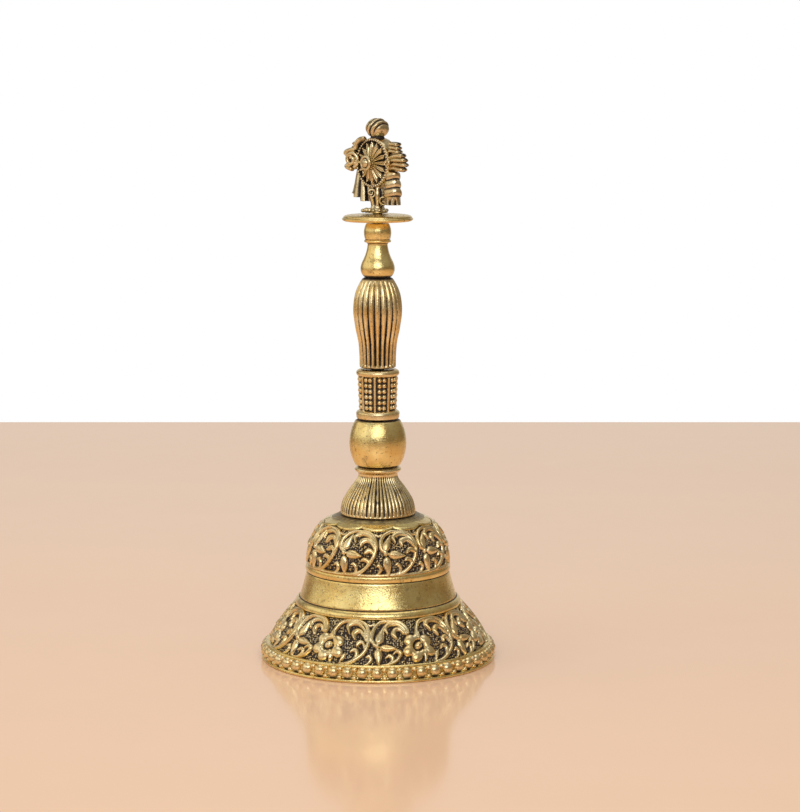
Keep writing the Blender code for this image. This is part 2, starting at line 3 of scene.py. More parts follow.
import bpy
import numpy as np
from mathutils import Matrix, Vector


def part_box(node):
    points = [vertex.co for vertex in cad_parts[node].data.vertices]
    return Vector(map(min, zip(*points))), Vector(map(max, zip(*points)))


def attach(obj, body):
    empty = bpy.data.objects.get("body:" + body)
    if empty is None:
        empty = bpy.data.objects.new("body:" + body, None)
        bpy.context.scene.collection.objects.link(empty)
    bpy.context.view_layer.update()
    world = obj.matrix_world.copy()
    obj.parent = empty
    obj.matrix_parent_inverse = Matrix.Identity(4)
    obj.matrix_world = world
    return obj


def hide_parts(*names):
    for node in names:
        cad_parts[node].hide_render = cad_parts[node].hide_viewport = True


# A brass puja bell. Shapes are worked out in millimetres, and each piece is scaled to metres as it is made.
# An angle called turn is measured from the front, anticlockwise seen from above.

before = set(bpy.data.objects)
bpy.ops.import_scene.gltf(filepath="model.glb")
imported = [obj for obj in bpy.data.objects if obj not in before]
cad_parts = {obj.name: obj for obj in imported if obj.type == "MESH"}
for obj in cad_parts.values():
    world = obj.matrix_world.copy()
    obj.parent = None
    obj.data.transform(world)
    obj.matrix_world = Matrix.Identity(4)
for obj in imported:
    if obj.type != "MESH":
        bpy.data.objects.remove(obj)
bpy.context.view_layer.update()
mm = 0.001
print("frame loaded:", len(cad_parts), "CAD nodes")


def lowHigh(node):
    # The lowest and the highest point of a CAD node, in millimetres.
    low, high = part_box(node)
    return low.z / mm, high.z / mm


def smoothLine(points, perSpan):
    # A Catmull-Rom curve: each span is the cubic whose ends are two given points and whose slopes are
    # half the step between their neighbours.
    given = np.array(points, float)
    padded = np.vstack((2 * given[0] - given[1], given, 2 * given[-1] - given[-2]))
    t = np.linspace(0, 1, perSpan, endpoint=False)[None, :, None]
    a, b, c, d = (padded[k:len(padded) - 3 + k, None, :] for k in range(4))
    spans = 0.5 * (2 * b + (c - a) * t + (2 * a - 5 * b + 4 * c - d) * t**2 + (3 * b - a - 3 * c + d) * t**3)
    return np.vstack((spans.reshape(-1, given.shape[1]), given[-1:]))


def evenly(line, count):
    # The same line with count points, equally far apart along it.
    steps = np.linalg.norm(np.diff(line, axis=0), axis=1)
    run = np.concatenate(([0], np.cumsum(steps)))
    at = np.linspace(0, run[-1], count)
    return np.column_stack([np.interp(at, run, line[:, k]) for k in range(line.shape[1])])


def bowedLine(start, end, bow, count):
    # The straight line from start to end, pushed sideways by bow * 4t(1 - t). A line that runs up is pushed
    # outwards by a positive bow.
    start, end = np.array(start, float), np.array(end, float)
    along = (end - start) / np.linalg.norm(end - start)
    t = np.linspace(0, 1, count)[:, None]
    return start + (end - start) * t + np.array((along[1], -along[0])) * bow * 4 * t * (1 - t)


def roundEdge(centre, radius, first, last, count):
    # Points on a circle from the angle first to the angle last, in degrees from the outward direction.
    angle = np.radians(np.linspace(first, last, count))
    return np.column_stack((centre[0] + radius * np.cos(angle), centre[1] + radius * np.sin(angle)))


def outwards(line):
    # Unit normals of an outline that runs up its outer side: its direction turned a quarter to the outside.
    along = np.gradient(line, axis=0)
    along = along / np.maximum(np.linalg.norm(along, axis=1), 1e-9)[:, None]
    return np.column_stack((along[:, 1], -along[:, 0]))


def spread(values, reach):
    # The mean over reach cells each way. Rows are held at their ends, and columns run round the bell.
    total = np.zeros_like(values)
    padded = np.pad(values, ((reach, reach), (0, 0)), mode="edge")
    for k in range(2 * reach + 1):
        total += padded[k:k + values.shape[0]]
    total, across = total / (2 * reach + 1), np.zeros_like(values)
    for k in range(-reach, reach + 1):
        across += np.roll(total, k, axis=1)
    return across / (2 * reach + 1)


def easeIn(value, start, end):
    # 0 before start, 1 after end, and 3t^2 - 2t^3 between them.
    t = np.clip((value - start) / (end - start), 0, 1)
    return t * t * (3 - 2 * t)


def skin(points, wearAndShade=1.0, ring=False):
    # One closed surface from a grid of points that wraps from its last column to its first. With ring, its
    # last row joins its first. Otherwise a fan of triangles about their middle closes the first and the
    # last row. The wear value is 1 where the metal is rubbed bright and 0 where dirt stays, and low values
    # also carry painted shade where a piece sets them for it. Faces are turned to make the volume positive.
    rows, columns = points.shape[:2]
    corners = points.reshape(-1, 3)
    wornAndShaded = np.broadcast_to(np.asarray(wearAndShade, float), (rows, columns)).ravel()
    i = np.arange(rows if ring else rows - 1)[:, None] * columns
    j = np.arange(columns)[None, :]
    up, on = (i + columns) % (rows * columns), (j + 1) % columns
    loop = (i + j, i + on, up + on, up + j)
    quads = np.stack([np.broadcast_to(corner, (i.size, columns)).ravel() for corner in loop], axis=1)
    fans = np.zeros((0, 3), int)
    if not ring:
        here, last = np.arange(columns), (rows - 1) * columns
        onward = (here + 1) % columns
        low, high = np.full(columns, len(corners)), np.full(columns, len(corners) + 1)
        corners = np.vstack((corners, points[0].mean(axis=0), points[-1].mean(axis=0)))
        wornAndShaded = np.concatenate((wornAndShaded, [wornAndShaded[:columns].mean(), wornAndShaded[last:last + columns].mean()]))
        fans = np.vstack((np.column_stack((onward, here, low)),
                          np.column_stack((here + last, onward + last, high))))
    a, b, c, d = (corners[quads[:, k]] for k in range(4))
    volume = (a * np.cross(b, c)).sum() + (a * np.cross(c, d)).sum()
    p, q, r = (corners[fans[:, k]] for k in range(3))
    if volume + (p * np.cross(q, r)).sum() < 0:
        quads, fans = quads[:, ::-1], fans[:, ::-1]
    return {"corners": corners, "wornAndShaded": wornAndShaded, "quads": quads, "fans": fans}


def makePiece(name, skins, material, nodes, body="bell"):
    # All the skins in one mesh, scaled to metres, smooth shaded, with wear and painted shade as an attribute.
    starts = np.concatenate(([0], np.cumsum([len(s["corners"]) for s in skins])))
    corners = np.vstack([s["corners"] for s in skins]) * mm
    quads = np.vstack([s["quads"] + k for s, k in zip(skins, starts)])
    fans = np.vstack([s["fans"] + k for s, k in zip(skins, starts)])
    mesh = bpy.data.meshes.new(name)
    mesh.vertices.add(len(corners))
    mesh.vertices.foreach_set("co", corners.astype(np.float32).ravel())
    mesh.loops.add(quads.size + fans.size)
    mesh.loops.foreach_set("vertex_index", np.concatenate((quads.ravel(), fans.ravel())).astype(np.int32))
    mesh.polygons.add(len(quads) + len(fans))
    starting = np.concatenate((np.arange(len(quads)) * 4, quads.size + np.arange(len(fans)) * 3))
    mesh.polygons.foreach_set("loop_start", starting.astype(np.int32))
    mesh.update(calc_edges=True)
    mesh.validate()
    mesh.shade_smooth()
    wearAndShade = mesh.attributes.new("wearAndShade", "FLOAT", "POINT")
    wearAndShade.data.foreach_set("value", np.concatenate([s["wornAndShaded"] for s in skins]).astype(np.float32))
    mesh.materials.append(material)
    piece = bpy.data.objects.new(name, mesh)
    bpy.context.scene.collection.objects.link(piece)
    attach(piece, body)
    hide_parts(*nodes)
    print("made", name, "with", 2 * len(quads) + len(fans), "triangles")


def fullTurn(columns):
    # Even steps round a circle, in radians, as one row. The first angle isn't repeated at the end.
    return np.linspace(0, 2 * np.pi, columns, endpoint=False)[None, :]


def turned(radius, height, turn):
    # A radius and a height carried round the bell's axis: x is r sin(turn) and y is -r cos(turn). Both may
    # be one column, or may differ at each place of the grid.
    return np.stack((radius * np.sin(turn), -radius * np.cos(turn), height + 0 * turn), axis=2)


def around(line, turn, rise):
    # An outline carried round the axis and moved along its normal by rise, which differs at each place.
    normal = outwards(line)
    rise = np.broadcast_to(rise, (len(line), turn.size))
    return turned(line[:, :1] + normal[:, :1] * rise, line[:, 1:] + normal[:, 1:] * rise, turn)


def hollowWear(line, reach=0.7):
    # 1 where the outline is flat or stands out, less where it is a hollow: 1 - 9 times the distance from each
    # point to the mean of its neighbours within reach, measured outwards.
    gap = np.linalg.norm(line[:, None, :] - line[None, :, :], axis=2)
    near = np.clip(1 - gap / reach, 0, 1)
    mean = near @ line / near.sum(axis=1)[:, None]
    sunk = ((mean - line) * outwards(line)).sum(axis=1)
    return np.clip(1 - 9 * np.clip(sunk, 0, None), 0, 1)[:, None]


def turnedSkin(outline, columns, bore, top=None, brightShare=1.0):
    # A turned piece with a hole down its axis: the outline runs up the outer side, then the hole runs down.
    # Its radius is top above the middle, if that is given, and bore below. The share given as its last
    # argument multiplies the outer side's wear.
    foot, head = outline[0, 1], outline[-1, 1]
    middle = (foot + head) / 2
    topBore = bore if top is None else top
    hole = np.array([(topBore, head), (topBore, middle), (bore, middle - 0.1), (bore, foot)])
    wearAndShade = np.vstack((hollowWear(outline) * brightShare, np.full((len(hole), 1), 0.2)))
    line = np.vstack((outline, hole))
    return skin(turned(line[:, :1], line[:, 1:], fullTurn(columns)), wearAndShade, ring=True)


def tube(path, widths, thicks, facing, sides=12, wearAndShade=1.0):
    # An oval cross-section carried along a path. At each point it is widths across, in the direction at
    # right angles to the path and to facing, and thicks deep towards facing. Its ends are closed by a fan.
    path = np.asarray(path, float)
    along = np.gradient(path, axis=0)
    along = along / np.linalg.norm(along, axis=1)[:, None]
    facing = np.broadcast_to(np.asarray(facing, float), path.shape)
    across = np.cross(along, facing)
    across = across / np.linalg.norm(across, axis=1)[:, None]
    out = np.cross(across, along)
    angle = fullTurn(sides)[0]
    ring = (across[:, None, :] * (np.asarray(widths)[:, None] * np.cos(angle))[..., None]
            + out[:, None, :] * (np.asarray(thicks)[:, None] * np.sin(angle))[..., None])
    return skin(path[:, None, :] + ring, wearAndShade)


def rounded(count, blunt=0.12):
    # A share of full width along a path that is 1 in the middle and closes like a half circle at both ends.
    t = np.linspace(0, 1, count)
    end = np.clip(np.minimum(t, 1 - t) / blunt, 0, 1)
    return np.sqrt(np.clip(1 - (1 - end) ** 2, 0.0004, 1))


def ballSkin(centre, radius, columns=14, rings=9, stretch=(1, 1, 1), wearAndShade=1.0):
    # A ball: radius times the sine and cosine of latitude and longitude, stretched along each axis. With no
    # wear given it gets painted shade, dark below and light above, by 0.35 + 0.9 (sin + 0.6) of the latitude.
    up = np.linspace(-0.5, 0.5, rings + 2)[1:-1, None] * np.pi
    turn = fullTurn(columns)
    points = np.stack((np.cos(up) * np.cos(turn), np.cos(up) * np.sin(turn), np.sin(up) + 0 * turn), axis=2)
    shade = np.clip(0.35 + 0.9 * (np.sin(up) + 0.6), 0, 1) if wearAndShade is None else wearAndShade
    return skin(np.asarray(centre) + points * radius * np.asarray(stretch), shade)


def addNode(tree, kind, settings=None, **links):
    # One node with its settings and its inputs. An input is a value or the socket that feeds it, and is
    # given by its name, or by i and its number.
    node = tree.nodes.new(kind)
    for key, value in (settings or {}).items():
        setattr(node, key, value)
    for key, value in links.items():
        socket = node.inputs[int(key[1:])] if key[0] == "i" and key[1:].isdigit() else node.inputs[key]
        if isinstance(value, bpy.types.NodeSocket):
            tree.links.new(value, socket)
        else:
            socket.default_value = value
    return node


def noise(tree, place, size, detail=4.0, rough=0.6):
    # Noise whose blobs are about size millimetres wide.
    node = addNode(tree, "ShaderNodeTexNoise", Vector=place, Scale=1 / (size * mm), Detail=detail,
                   Roughness=rough)
    return node.outputs["Fac"]


def between(tree, value, low, high, toLow=0.0, toHigh=1.0):
    # value from low to high, made to run from toLow to toHigh and held at both ends.
    return addNode(tree, "ShaderNodeMapRange", {"clamp": True}, i0=value, i1=low, i2=high, i3=toLow,
                   i4=toHigh).outputs[0]


def mixed(tree, share, first, second):
    # A blend of two colours: (1 - share) of the first and share of the second.
    node = addNode(tree, "ShaderNodeMix", {"data_type": "RGBA"}, i0=share)
    for socket, value in ((node.inputs[6], first), (node.inputs[7], second)):
        if isinstance(value, bpy.types.NodeSocket):
            tree.links.new(value, socket)
        else:
            socket.default_value = (*value, 1)
    return node.outputs[2]


def maths(tree, how, first, second):
    # The named operation on two values, held between 0 and 1.
    settings = {"operation": how, "use_clamp": True}
    return addNode(tree, "ShaderNodeMath", settings, i0=first, i1=second).outputs[0]


# In each metal, the wear value between the two dark thresholds turns the dark colour into metal. That dark
# colour is dirt, and painted shade where the wear value carries shade. spots is the strength of the stains,
# and the roughness runs from smooth to rough. grain is the strength of the fine pits.
metalLooks = {
    "agedBrass": {
        "bright": (0.86, 0.74, 0.46), "warm": (0.78, 0.58, 0.27), "dirtAndShade": (0.014, 0.010, 0.010),
        "dirtAndShadeAlt": (0.060, 0.044, 0.038), "dirtAndShadeFrom": 0.24, "dirtAndShadeTo": 0.58, "spots": 0.35, "smooth": 0.15,
        "rough": 0.32, "grain": 0.34},
    "finialBrass": {
        "bright": (0.80, 0.71, 0.48), "warm": (0.62, 0.49, 0.28), "dirtAndShade": (0.012, 0.009, 0.009),
        "dirtAndShadeAlt": (0.050, 0.036, 0.030), "dirtAndShadeFrom": 0.36, "dirtAndShadeTo": 0.78, "spots": 0.50, "smooth": 0.11,
        "rough": 0.28, "grain": 0.34},
    "polishedBrass": {
        "bright": (0.90, 0.76, 0.36), "warm": (0.80, 0.60, 0.24), "dirtAndShade": (0.030, 0.020, 0.013),
        "dirtAndShadeAlt": (0.14, 0.10, 0.055), "dirtAndShadeFrom": 0.10, "dirtAndShadeTo": 0.66, "spots": 0.62, "smooth": 0.10,
        "rough": 0.28, "grain": 0.45},
    "plainBrass": {
        "bright": (0.62, 0.47, 0.22), "warm": (0.50, 0.35, 0.15), "dirtAndShade": (0.05, 0.035, 0.02),
        "dirtAndShadeAlt": (0.12, 0.09, 0.05), "dirtAndShadeFrom": 0.05, "dirtAndShadeTo": 0.60, "spots": 0.45, "smooth": 0.32,
        "rough": 0.52, "grain": 0.25},
    "darkSteel": {
        "bright": (0.22, 0.21, 0.20), "warm": (0.15, 0.13, 0.12), "dirtAndShade": (0.03, 0.025, 0.02),
        "dirtAndShadeAlt": (0.08, 0.05, 0.035), "dirtAndShadeFrom": 0.05, "dirtAndShadeTo": 0.50, "spots": 0.50, "smooth": 0.34,
        "rough": 0.55, "grain": 0.30},
}


def makeMetal(name, look, hasWear=True):
    # Metal that is mottled at 6 mm and at 1.2 mm, with fine pits. Where the wear value is low the surface
    # turns to a dark coat, which is rougher and less metallic: dirt, and painted shade where that value
    # carries shade. The edge of the dark coat is broken up by the finer mottle.
    material = bpy.data.materials.new(name)
    material.use_nodes = True
    tree = material.node_tree
    shader = tree.nodes["Principled BSDF"]
    place = addNode(tree, "ShaderNodeTexCoord").outputs["Object"]
    broad, fine = noise(tree, place, 6.0, 5.0), noise(tree, place, 1.2, 6.0, 0.7)
    specks = between(tree, noise(tree, place, 0.8, 3.0, 0.5), 0.60, 0.70)
    patches = between(tree, noise(tree, place, 3.2, 6.0, 0.72), 0.56, 0.72)
    tone = mixed(tree, between(tree, broad, 0.38, 0.62), look["bright"], look["warm"])
    stain = maths(tree, "MULTIPLY", maths(tree, "MAXIMUM", specks, patches), look["spots"])
    stained = mixed(tree, stain, tone, look["dirtAndShadeAlt"])
    if hasWear:
        wornAndShaded = addNode(tree, "ShaderNodeAttribute", {"attribute_name": "wearAndShade"}).outputs["Fac"]
        ragged = addNode(tree, "ShaderNodeMath", {"operation": "MULTIPLY_ADD"}, i0=fine, i1=0.8, i2=wornAndShaded)
        wornAndShaded = maths(tree, "SUBTRACT", ragged.outputs[0], 0.4)
        brightShare = between(tree, wornAndShaded, look["dirtAndShadeFrom"], look["dirtAndShadeTo"])
    else:
        brightShare = between(tree, fine, 0.25, 0.45)
    dirtAndShade = mixed(tree, fine, look["dirtAndShade"], look["dirtAndShadeAlt"])
    tree.links.new(mixed(tree, brightShare, dirtAndShade, stained), shader.inputs["Base Color"])
    tree.links.new(between(tree, brightShare, 0, 1, 0.45, 1.0), shader.inputs["Metallic"])
    gloss = between(tree, fine, 0.30, 0.70, look["smooth"], look["rough"])
    dull = maths(tree, "ADD", gloss, maths(tree, "MULTIPLY", maths(tree, "SUBTRACT", 1.0, brightShare), 0.25))
    tree.links.new(maths(tree, "ADD", dull, maths(tree, "MULTIPLY", stain, 0.3)), shader.inputs["Roughness"])
    pits = maths(tree, "ADD", maths(tree, "MULTIPLY", fine, 0.7),
                 maths(tree, "MULTIPLY", noise(tree, place, 0.35, 3.0), 0.35))
    bump = addNode(tree, "ShaderNodeBump", Strength=look["grain"], Distance=0.25 * mm, Height=pits)
    tree.links.new(bump.outputs["Normal"], shader.inputs["Normal"])
    return material


metals = {name: makeMetal(name, look) for name, look in metalLooks.items()}
print("metals ready")


# The bowl's outline is given as radius and height. The skirt, the band and the dome are bowed lines, as
# start, end and bow. The other stretches are points from the table up, and the inside runs back down.
bowl = {
    "skirt": ((36.9, 5.6), (27.45, 18.6), 0.7), "dome": ((23.9, 31.6), (18.2, 46.0), 1.9),
    "band": ((26.0, 20.75), (23.75, 28.9), -0.15), "bore": 2.35, "crownHeight": 47.9, "underScrolls": 1.85,
    "channel": [(38.0, 1.2), (37.75, 1.7), (37.6, 2.9), (37.35, 4.15)],
    "lowLedge": [(26.5, 17.85), (27.15, 17.95), (27.5, 18.4), (27.4, 19.2), (27.0, 19.9), (26.6, 20.25)],
    "lowGroove": [(26.2, 20.42), (25.7, 20.5), (25.98, 20.68)],
    "highGroove": [(23.68, 28.98), (23.25, 29.08), (23.6, 29.2)],
    "highLedge": [(23.85, 29.35), (24.05, 30.1), (23.98, 30.9), (23.65, 31.4), (23.0, 31.6)],
    "crownUnder": [(15.8, 44.75), (16.1, 44.95)], "crown": [(16.2, 46.55), (14.2, 47.35), (12.4, 47.85)],
    "inside": [(13.6, 45.1), (15.3, 44.0), (17.9, 42.0), (20.3, 38.0), (21.3, 34.0), (21.3, 28.0),
               (23.1, 20.0), (27.9, 13.0), (32.2, 6.0), (32.9, 0.0)],
    "insideTop": 45.1, "lobes": 10, "lobeReach": 1.4, "lobeFade": (0.9, 0.55, 0.2), "columns": 320,
    "crownWear": (0.13, 0.37), "insideWear": 0.42, "channelWear": 0.85,
}
skirtLine = evenly(bowedLine(*bowl["skirt"], 400), 400)
domeLine = evenly(bowedLine(*bowl["dome"], 400), 400)


def bowlOutline():
    # The outer side by its stretches, from the standing ring to the bore. Behind the scrollwork the wall is
    # set back along its normal.
    skirt = skirtLine - outwards(skirtLine) * bowl["underScrolls"]
    dome = domeLine - outwards(domeLine) * bowl["underScrolls"]
    return {
        "foot": roundEdge((38.35, 0.55), 0.55, -90, 70, 7), "channel": bowl["channel"],
        "fillet": roundEdge((36.9, 5.0), 0.6, -60, 80, 8), "skirt": skirt[8:-4:44],
        "lowLedge": smoothLine(bowl["lowLedge"], 4), "lowGroove": bowl["lowGroove"],
        "band": evenly(bowedLine(*bowl["band"], 60), 18), "highGroove": bowl["highGroove"],
        "highLedge": smoothLine(bowl["highLedge"], 4), "dome": dome[8:-8:42],
        "crownUnder": bowl["crownUnder"],
        "flange": roundEdge((16.6, 45.75), 0.68, -75, 75, 9),
        "crown": smoothLine(bowl["crown"] + [(bowl["bore"], bowl["crownHeight"])], 4),
    }


def makeBowlBody():
    # A closed turned shell. The crown's flange is pushed out into lobes by |cos|^0.6 of half as many turns.
    stretches = bowlOutline()
    line = np.vstack(list(stretches.values()))
    stretch = np.repeat(list(stretches), [len(points) for points in stretches.values()])
    onCrown = np.flatnonzero(stretch == "crown")
    share = (stretch == "flange").astype(float)
    share[onCrown[:len(bowl["lobeFade"])]] = bowl["lobeFade"]
    wearAndShade = hollowWear(line, 0.8)[:, 0]
    wearAndShade[onCrown[2:]] = np.interp(line[onCrown[2:], 0], (12.4, 16.2), bowl["crownWear"])
    wearAndShade[stretch == "channel"] = bowl["channelWear"]
    # The grooves are painted fully dark: painted shadow along the two thin grooves.
    wearAndShade[(stretch == "lowGroove") | (stretch == "highGroove")] = 0
    inside = np.vstack(((bowl["bore"], bowl["insideTop"]), bowl["inside"][0],
                        smoothLine(bowl["inside"][1:], 5)))
    line = np.vstack((line, inside))
    share = np.concatenate((share, np.zeros(len(inside))))[:, None]
    wearAndShade = np.concatenate((wearAndShade, np.full(len(inside), bowl["insideWear"])))[:, None]
    turn = fullTurn(bowl["columns"])
    lobe = bowl["lobeReach"] * (np.abs(np.cos(bowl["lobes"] / 2 * turn)) ** 0.6 - 0.45)
    points = turned(line[:, :1] + share * lobe, line[:, 1:] - 0.5 * share * lobe, turn)
    makePiece("bowlBody", [skin(points, wearAndShade, ring=True)], metals["polishedBrass"],
              ["bell_bowl"])


makeBowlBody()


# Scrollwork is given as strokes on the wall. Each has its kind, its points as turn in degrees and distance
# up the wall, its half width, and its height as a share of the relief. stretch multiplies every distance up
# the wall, and widen every half width of a kind.
upperScrolls = {
    "line": domeLine, "repeats": 10, "columns": 86, "rows": 98, "relief": 1.25, "shell": 0.9,
    "pebbleSize": 0.37, "pebbleRise": 0.37, "pebbleShare": 0.85, "stretch": 1.0,
    "widen": {"strip": 1.18, "comma": 1.2, "petal": 1.14},
    "strokes": [
        ("strip", [(7, 8), (3.4, 9.1), (3, 11.7), (5.2, 13.5), (9.2, 14.8), (15.2, 15.6), (22.8, 15.6),
                   (30.4, 14.4), (34, 12.1), (34.8, 9.25), (32.8, 6.6), (29.4, 4.1), (24.4, 1.9), (18.2, 0.6),
                   (9.4, 0.15), (-3.2, 0.0), (-18, 0.0)], 0.66, 1.0),
        ("bead", [(7, 7.5)], 1.0, 1.12),
        ("petal", [(10.6, 7.3), (23.6, 6.5)], 1.45, 1.08),
        ("petal", [(7.4, 6.0), (9.4, -0.2)], 1.4, 1.02),
        ("petal", [(7.2, 8.8), (8.6, 11.2), (12.6, 14.2)], 1.35, 0.86),
        ("comma", [(16, 11.2), (15.2, 13.6), (21.8, 14.6), (29, 13.7), (32.6, 11.6), (34.2, 9.25)],
         0.82, 0.95),
        ("comma", [(21.6, 9.9), (22.2, 11.7), (27, 12.3), (31, 11.1), (34.4, 8.7)], 0.98, 0.98),
        ("comma", [(25, 7.4), (28.6, 8.6), (32, 7.9), (33.6, 6.4)], 0.86, 0.96),
        ("comma", [(22.6, 4.9), (25, 5.5), (28.4, 4.8), (28.2, 3.2), (24.6, 1.6)], 0.78, 0.92),
        ("comma", [(14.4, 3.6), (16.6, 3.9), (18.8, 2.7), (18, 1.2), (15.4, 0.2)], 0.66, 0.86),
        ("comma", [(-0.8, 3.1), (1.2, 3.5), (2.9, 2.3), (1, 0.9), (-3.2, 0)], 0.66, 0.86),
        ("strip", [(-2.6, 14.3), (1.2, 13.8), (4.2, 14.3)], 0.42, 0.72),
    ],
}
lowerScrolls = {
    "line": skirtLine, "repeats": 7, "columns": 137, "rows": 92, "relief": 1.35, "shell": 0.9,
    "pebbleSize": 0.38, "pebbleRise": 0.37, "pebbleShare": 0.85, "stretch": 1.055,
    "widen": {"strip": 1.18, "comma": 1.2, "petal": 1.14},
    "strokes": [
        ("strip", [(-1.6, 6.6), (-3.2, 8.3), (-3, 10.3), (-1.4, 12.6), (2.6, 14.4), (8.2, 14.6), (14.4, 14.2),
                   (18, 12.3), (18.8, 10.4)], 0.62, 1.0),
        ("bead", [(0, 6.2)], 1.0, 1.12),
        ("petal", [(0.6, 7.4), (2.0, 9.8), (3.9, 12.6)], 1.45, 0.95),
        ("petal", [(2.2, 5.7), (11, 5.2)], 1.25, 1.05),
        ("petal", [(0.3, 5.0), (1, 0.1)], 1.35, 1.0),
        ("comma", [(6.2, 10.2), (5.2, 12.4), (8.2, 13.6), (13.2, 13.4), (16.6, 11.8), (17.6, 10)],
         0.82, 0.95),
        ("comma", [(11.4, 8.5), (9.8, 10.2), (11.2, 11.6), (13.9, 11.6), (16.2, 10.2)], 0.88, 0.96),
        ("comma", [(4.2, 2.3), (6.4, 3.1), (8.1, 2.4), (7.2, 1.1), (4.2, 0)], 0.68, 0.86),
        ("comma", [(8.6, 3.6), (11.0, 4.5), (12.6, 3.6), (10.4, 1.7), (6.8, 0.5), (2, 0)], 0.74, 0.92),
        ("flower", [(23.4, 5.9)], 2.0, 1.08),
        ("strip", [(-27.4, 10.1), (-25.6, 12.6), (-22.6, 14.1), (-17.2, 14.6), (-12, 14.6), (-7, 13.2),
                   (-5, 10.3), (-5.2, 7), (-7.2, 4.1), (-11, 2), (-15.6, 0.5), (-19.6, 0)], 0.64, 1.0),
        ("comma", [(-17.2, 10.4), (-18.8, 12.4), (-17.0, 13.6), (-12.6, 13.6), (-8.4, 12), (-6.2, 9.4)],
         0.82, 0.95),
        ("comma", [(-13.4, 8.4), (-14.2, 10.2), (-11.8, 11.3), (-9, 10.4), (-6.4, 8.1)], 0.94, 0.97),
        ("comma", [(-11.4, 6), (-10.4, 7.3), (-8.2, 7.3), (-6.8, 5.2)], 0.78, 0.92),
        ("comma", [(-14.6, 4), (-13.2, 4.8), (-11.3, 4.5), (-11.2, 3), (-13.2, 1.4), (-16.2, 0.6)],
         0.72, 0.9),
        ("petal", [(-17.4, 3.4), (-19.8, 0.4)], 0.7, 0.8),
        ("comma", [(-5.8, 2.6), (-4.3, 3.0), (-3.3, 2), (-4.6, 0.7), (-6.6, 0)], 0.62, 0.84),
        ("strip", [(-6.4, 13.6), (-4.2, 13.1), (-2, 13.8)], 0.42, 0.72),
    ],
}
scrollWear = {"rise": 1.15, "stand": 0.95, "reach": 5, "back": 0.1}
# The flower's sizes are shares of its petal's radius.
flowerShape = {"petals": 6, "firstPetal": 25, "petalsAt": 1.84, "ringAt": 1.5, "ringHalf": 0.62,
               "ringRise": 0.88, "hollow": 0.98, "button": 0.72}


def strokeRise(places, path, widths):
    # How high a rounded strip stands at each place, from 1 on its path to 0 at its half width. The distance
    # is to the nearest straight piece of the path, as a share d of the half width there: (1 - d^2.4)^0.55.
    start, step = path[:-1], path[1:] - path[:-1]
    away = places[:, None, :] - start
    t = np.clip((away * step).sum(axis=2) / np.maximum((step**2).sum(axis=1), 1e-9), 0, 1)
    distance = np.linalg.norm(away - t[..., None] * step, axis=2)
    share = (distance / (widths[:-1] + t * np.diff(widths))).min(axis=1)
    return (1 - np.clip(share, 0, 1) ** 2.4) ** 0.55


def strokeWidths(kind, count, broadest):
    # A comma opens from its tip to its head at a third of its length, then narrows to half. A petal starts
    # round, is widest at a third and ends in a point. A strip keeps its width.
    t = np.linspace(0, 1, count)
    if kind == "comma":
        opening = 0.25 + 0.75 * np.sin(np.clip(t / 0.3, 0, 1) * np.pi / 2)
        return broadest * opening * (1 - 0.5 * easeIn(t, 0.3, 1.0))
    if kind == "petal":
        swelling = np.sqrt(np.clip(1 - (1 - np.clip(t / 0.3, 0, 1)) ** 2, 0.02, 1))
        return broadest * swelling * (1 - 0.94 * np.clip((t - 0.3) / 0.7, 0, 1) ** 1.5)
    return np.full(count, broadest)


def raiseDomes(rise, places, centres, size, high):
    # Round domes: high * sqrt(1 - d^2), where d is the distance to the nearest centre as a share of size.
    nearest = np.full(len(places), np.inf)
    for centre in centres:
        nearest = np.minimum(nearest, np.linalg.norm(places - centre, axis=1) / size)
    return np.maximum(rise, high * np.sqrt(np.clip(1 - nearest**2, 0, 1)))


def scatteredPebbles(scrolls, length):
    # The middles of the pebbles on the ground: a grid of touching pebbles, each moved by up to 0.3 of the
    # pitch, with some left out at random.
    chance = np.random.default_rng(11)
    pitch = 2.0 * scrolls["pebbleSize"]
    aside, up = np.meshgrid(np.arange(-26, 27) * pitch, np.arange(0, length, pitch * 0.9))
    pebbles = np.column_stack((aside.ravel(), up.ravel()))
    pebbles += chance.uniform(-0.3, 0.3, pebbles.shape) * pitch
    return pebbles[chance.uniform(0, 1, len(pebbles)) < scrolls["pebbleShare"]]


def scrollRelief(scrolls):
    # The relief of one repeat on a grid of turn and distance up the wall, from 0 on the ground to about 1.
    # Turn is multiplied by the wall's radius at that height, so that strokes keep their shape.
    line = evenly(scrolls["line"], scrolls["rows"])
    length = np.linalg.norm(np.diff(line, axis=0), axis=1).sum()
    up = np.linspace(0, length, scrolls["rows"])
    period = 360 / scrolls["repeats"]
    turn = np.arange(scrolls["columns"]) * period / scrolls["columns"] - period / 2
    radius = line[:, :1]
    across = np.radians(turn)[None, :] * radius
    places = np.column_stack((across.ravel(), np.broadcast_to(up[:, None], across.shape).ravel()))

    def onWall(points, shift):
        points = np.array(points, float) * (1, scrolls["stretch"])
        return np.column_stack((np.radians(points[:, 0] + shift) * np.interp(points[:, 1], up, radius[:, 0]),
                                points[:, 1]))

    pebbles = scatteredPebbles(scrolls, length)
    rise = raiseDomes(np.zeros(len(places)), places, pebbles, scrolls["pebbleSize"], scrolls["pebbleRise"])
    for shift in (-period, 0, period):
        for kind, points, broadest, high in scrolls["strokes"]:
            path = onWall(points, shift)
            if kind == "flower":
                rise = raiseFlower(rise, places, path[0], broadest, high)
                continue
            if kind == "bead":
                rise = raiseDomes(rise, places, path, broadest, high)
                continue
            curve = smoothLine(path, 6) if len(path) > 2 else evenly(path, 14)
            half = broadest * scrolls["widen"][kind]
            near = ((places > curve.min(axis=0) - half) & (places < curve.max(axis=0) + half)).all(axis=1)
            if near.any():
                raised = high * strokeRise(places[near], curve, strokeWidths(kind, len(curve), half))
                rise[near] = np.maximum(rise[near], raised)
    rise = rise.reshape(across.shape)
    return rise * easeIn(length - up, 0.0, 0.35)[:, None], line


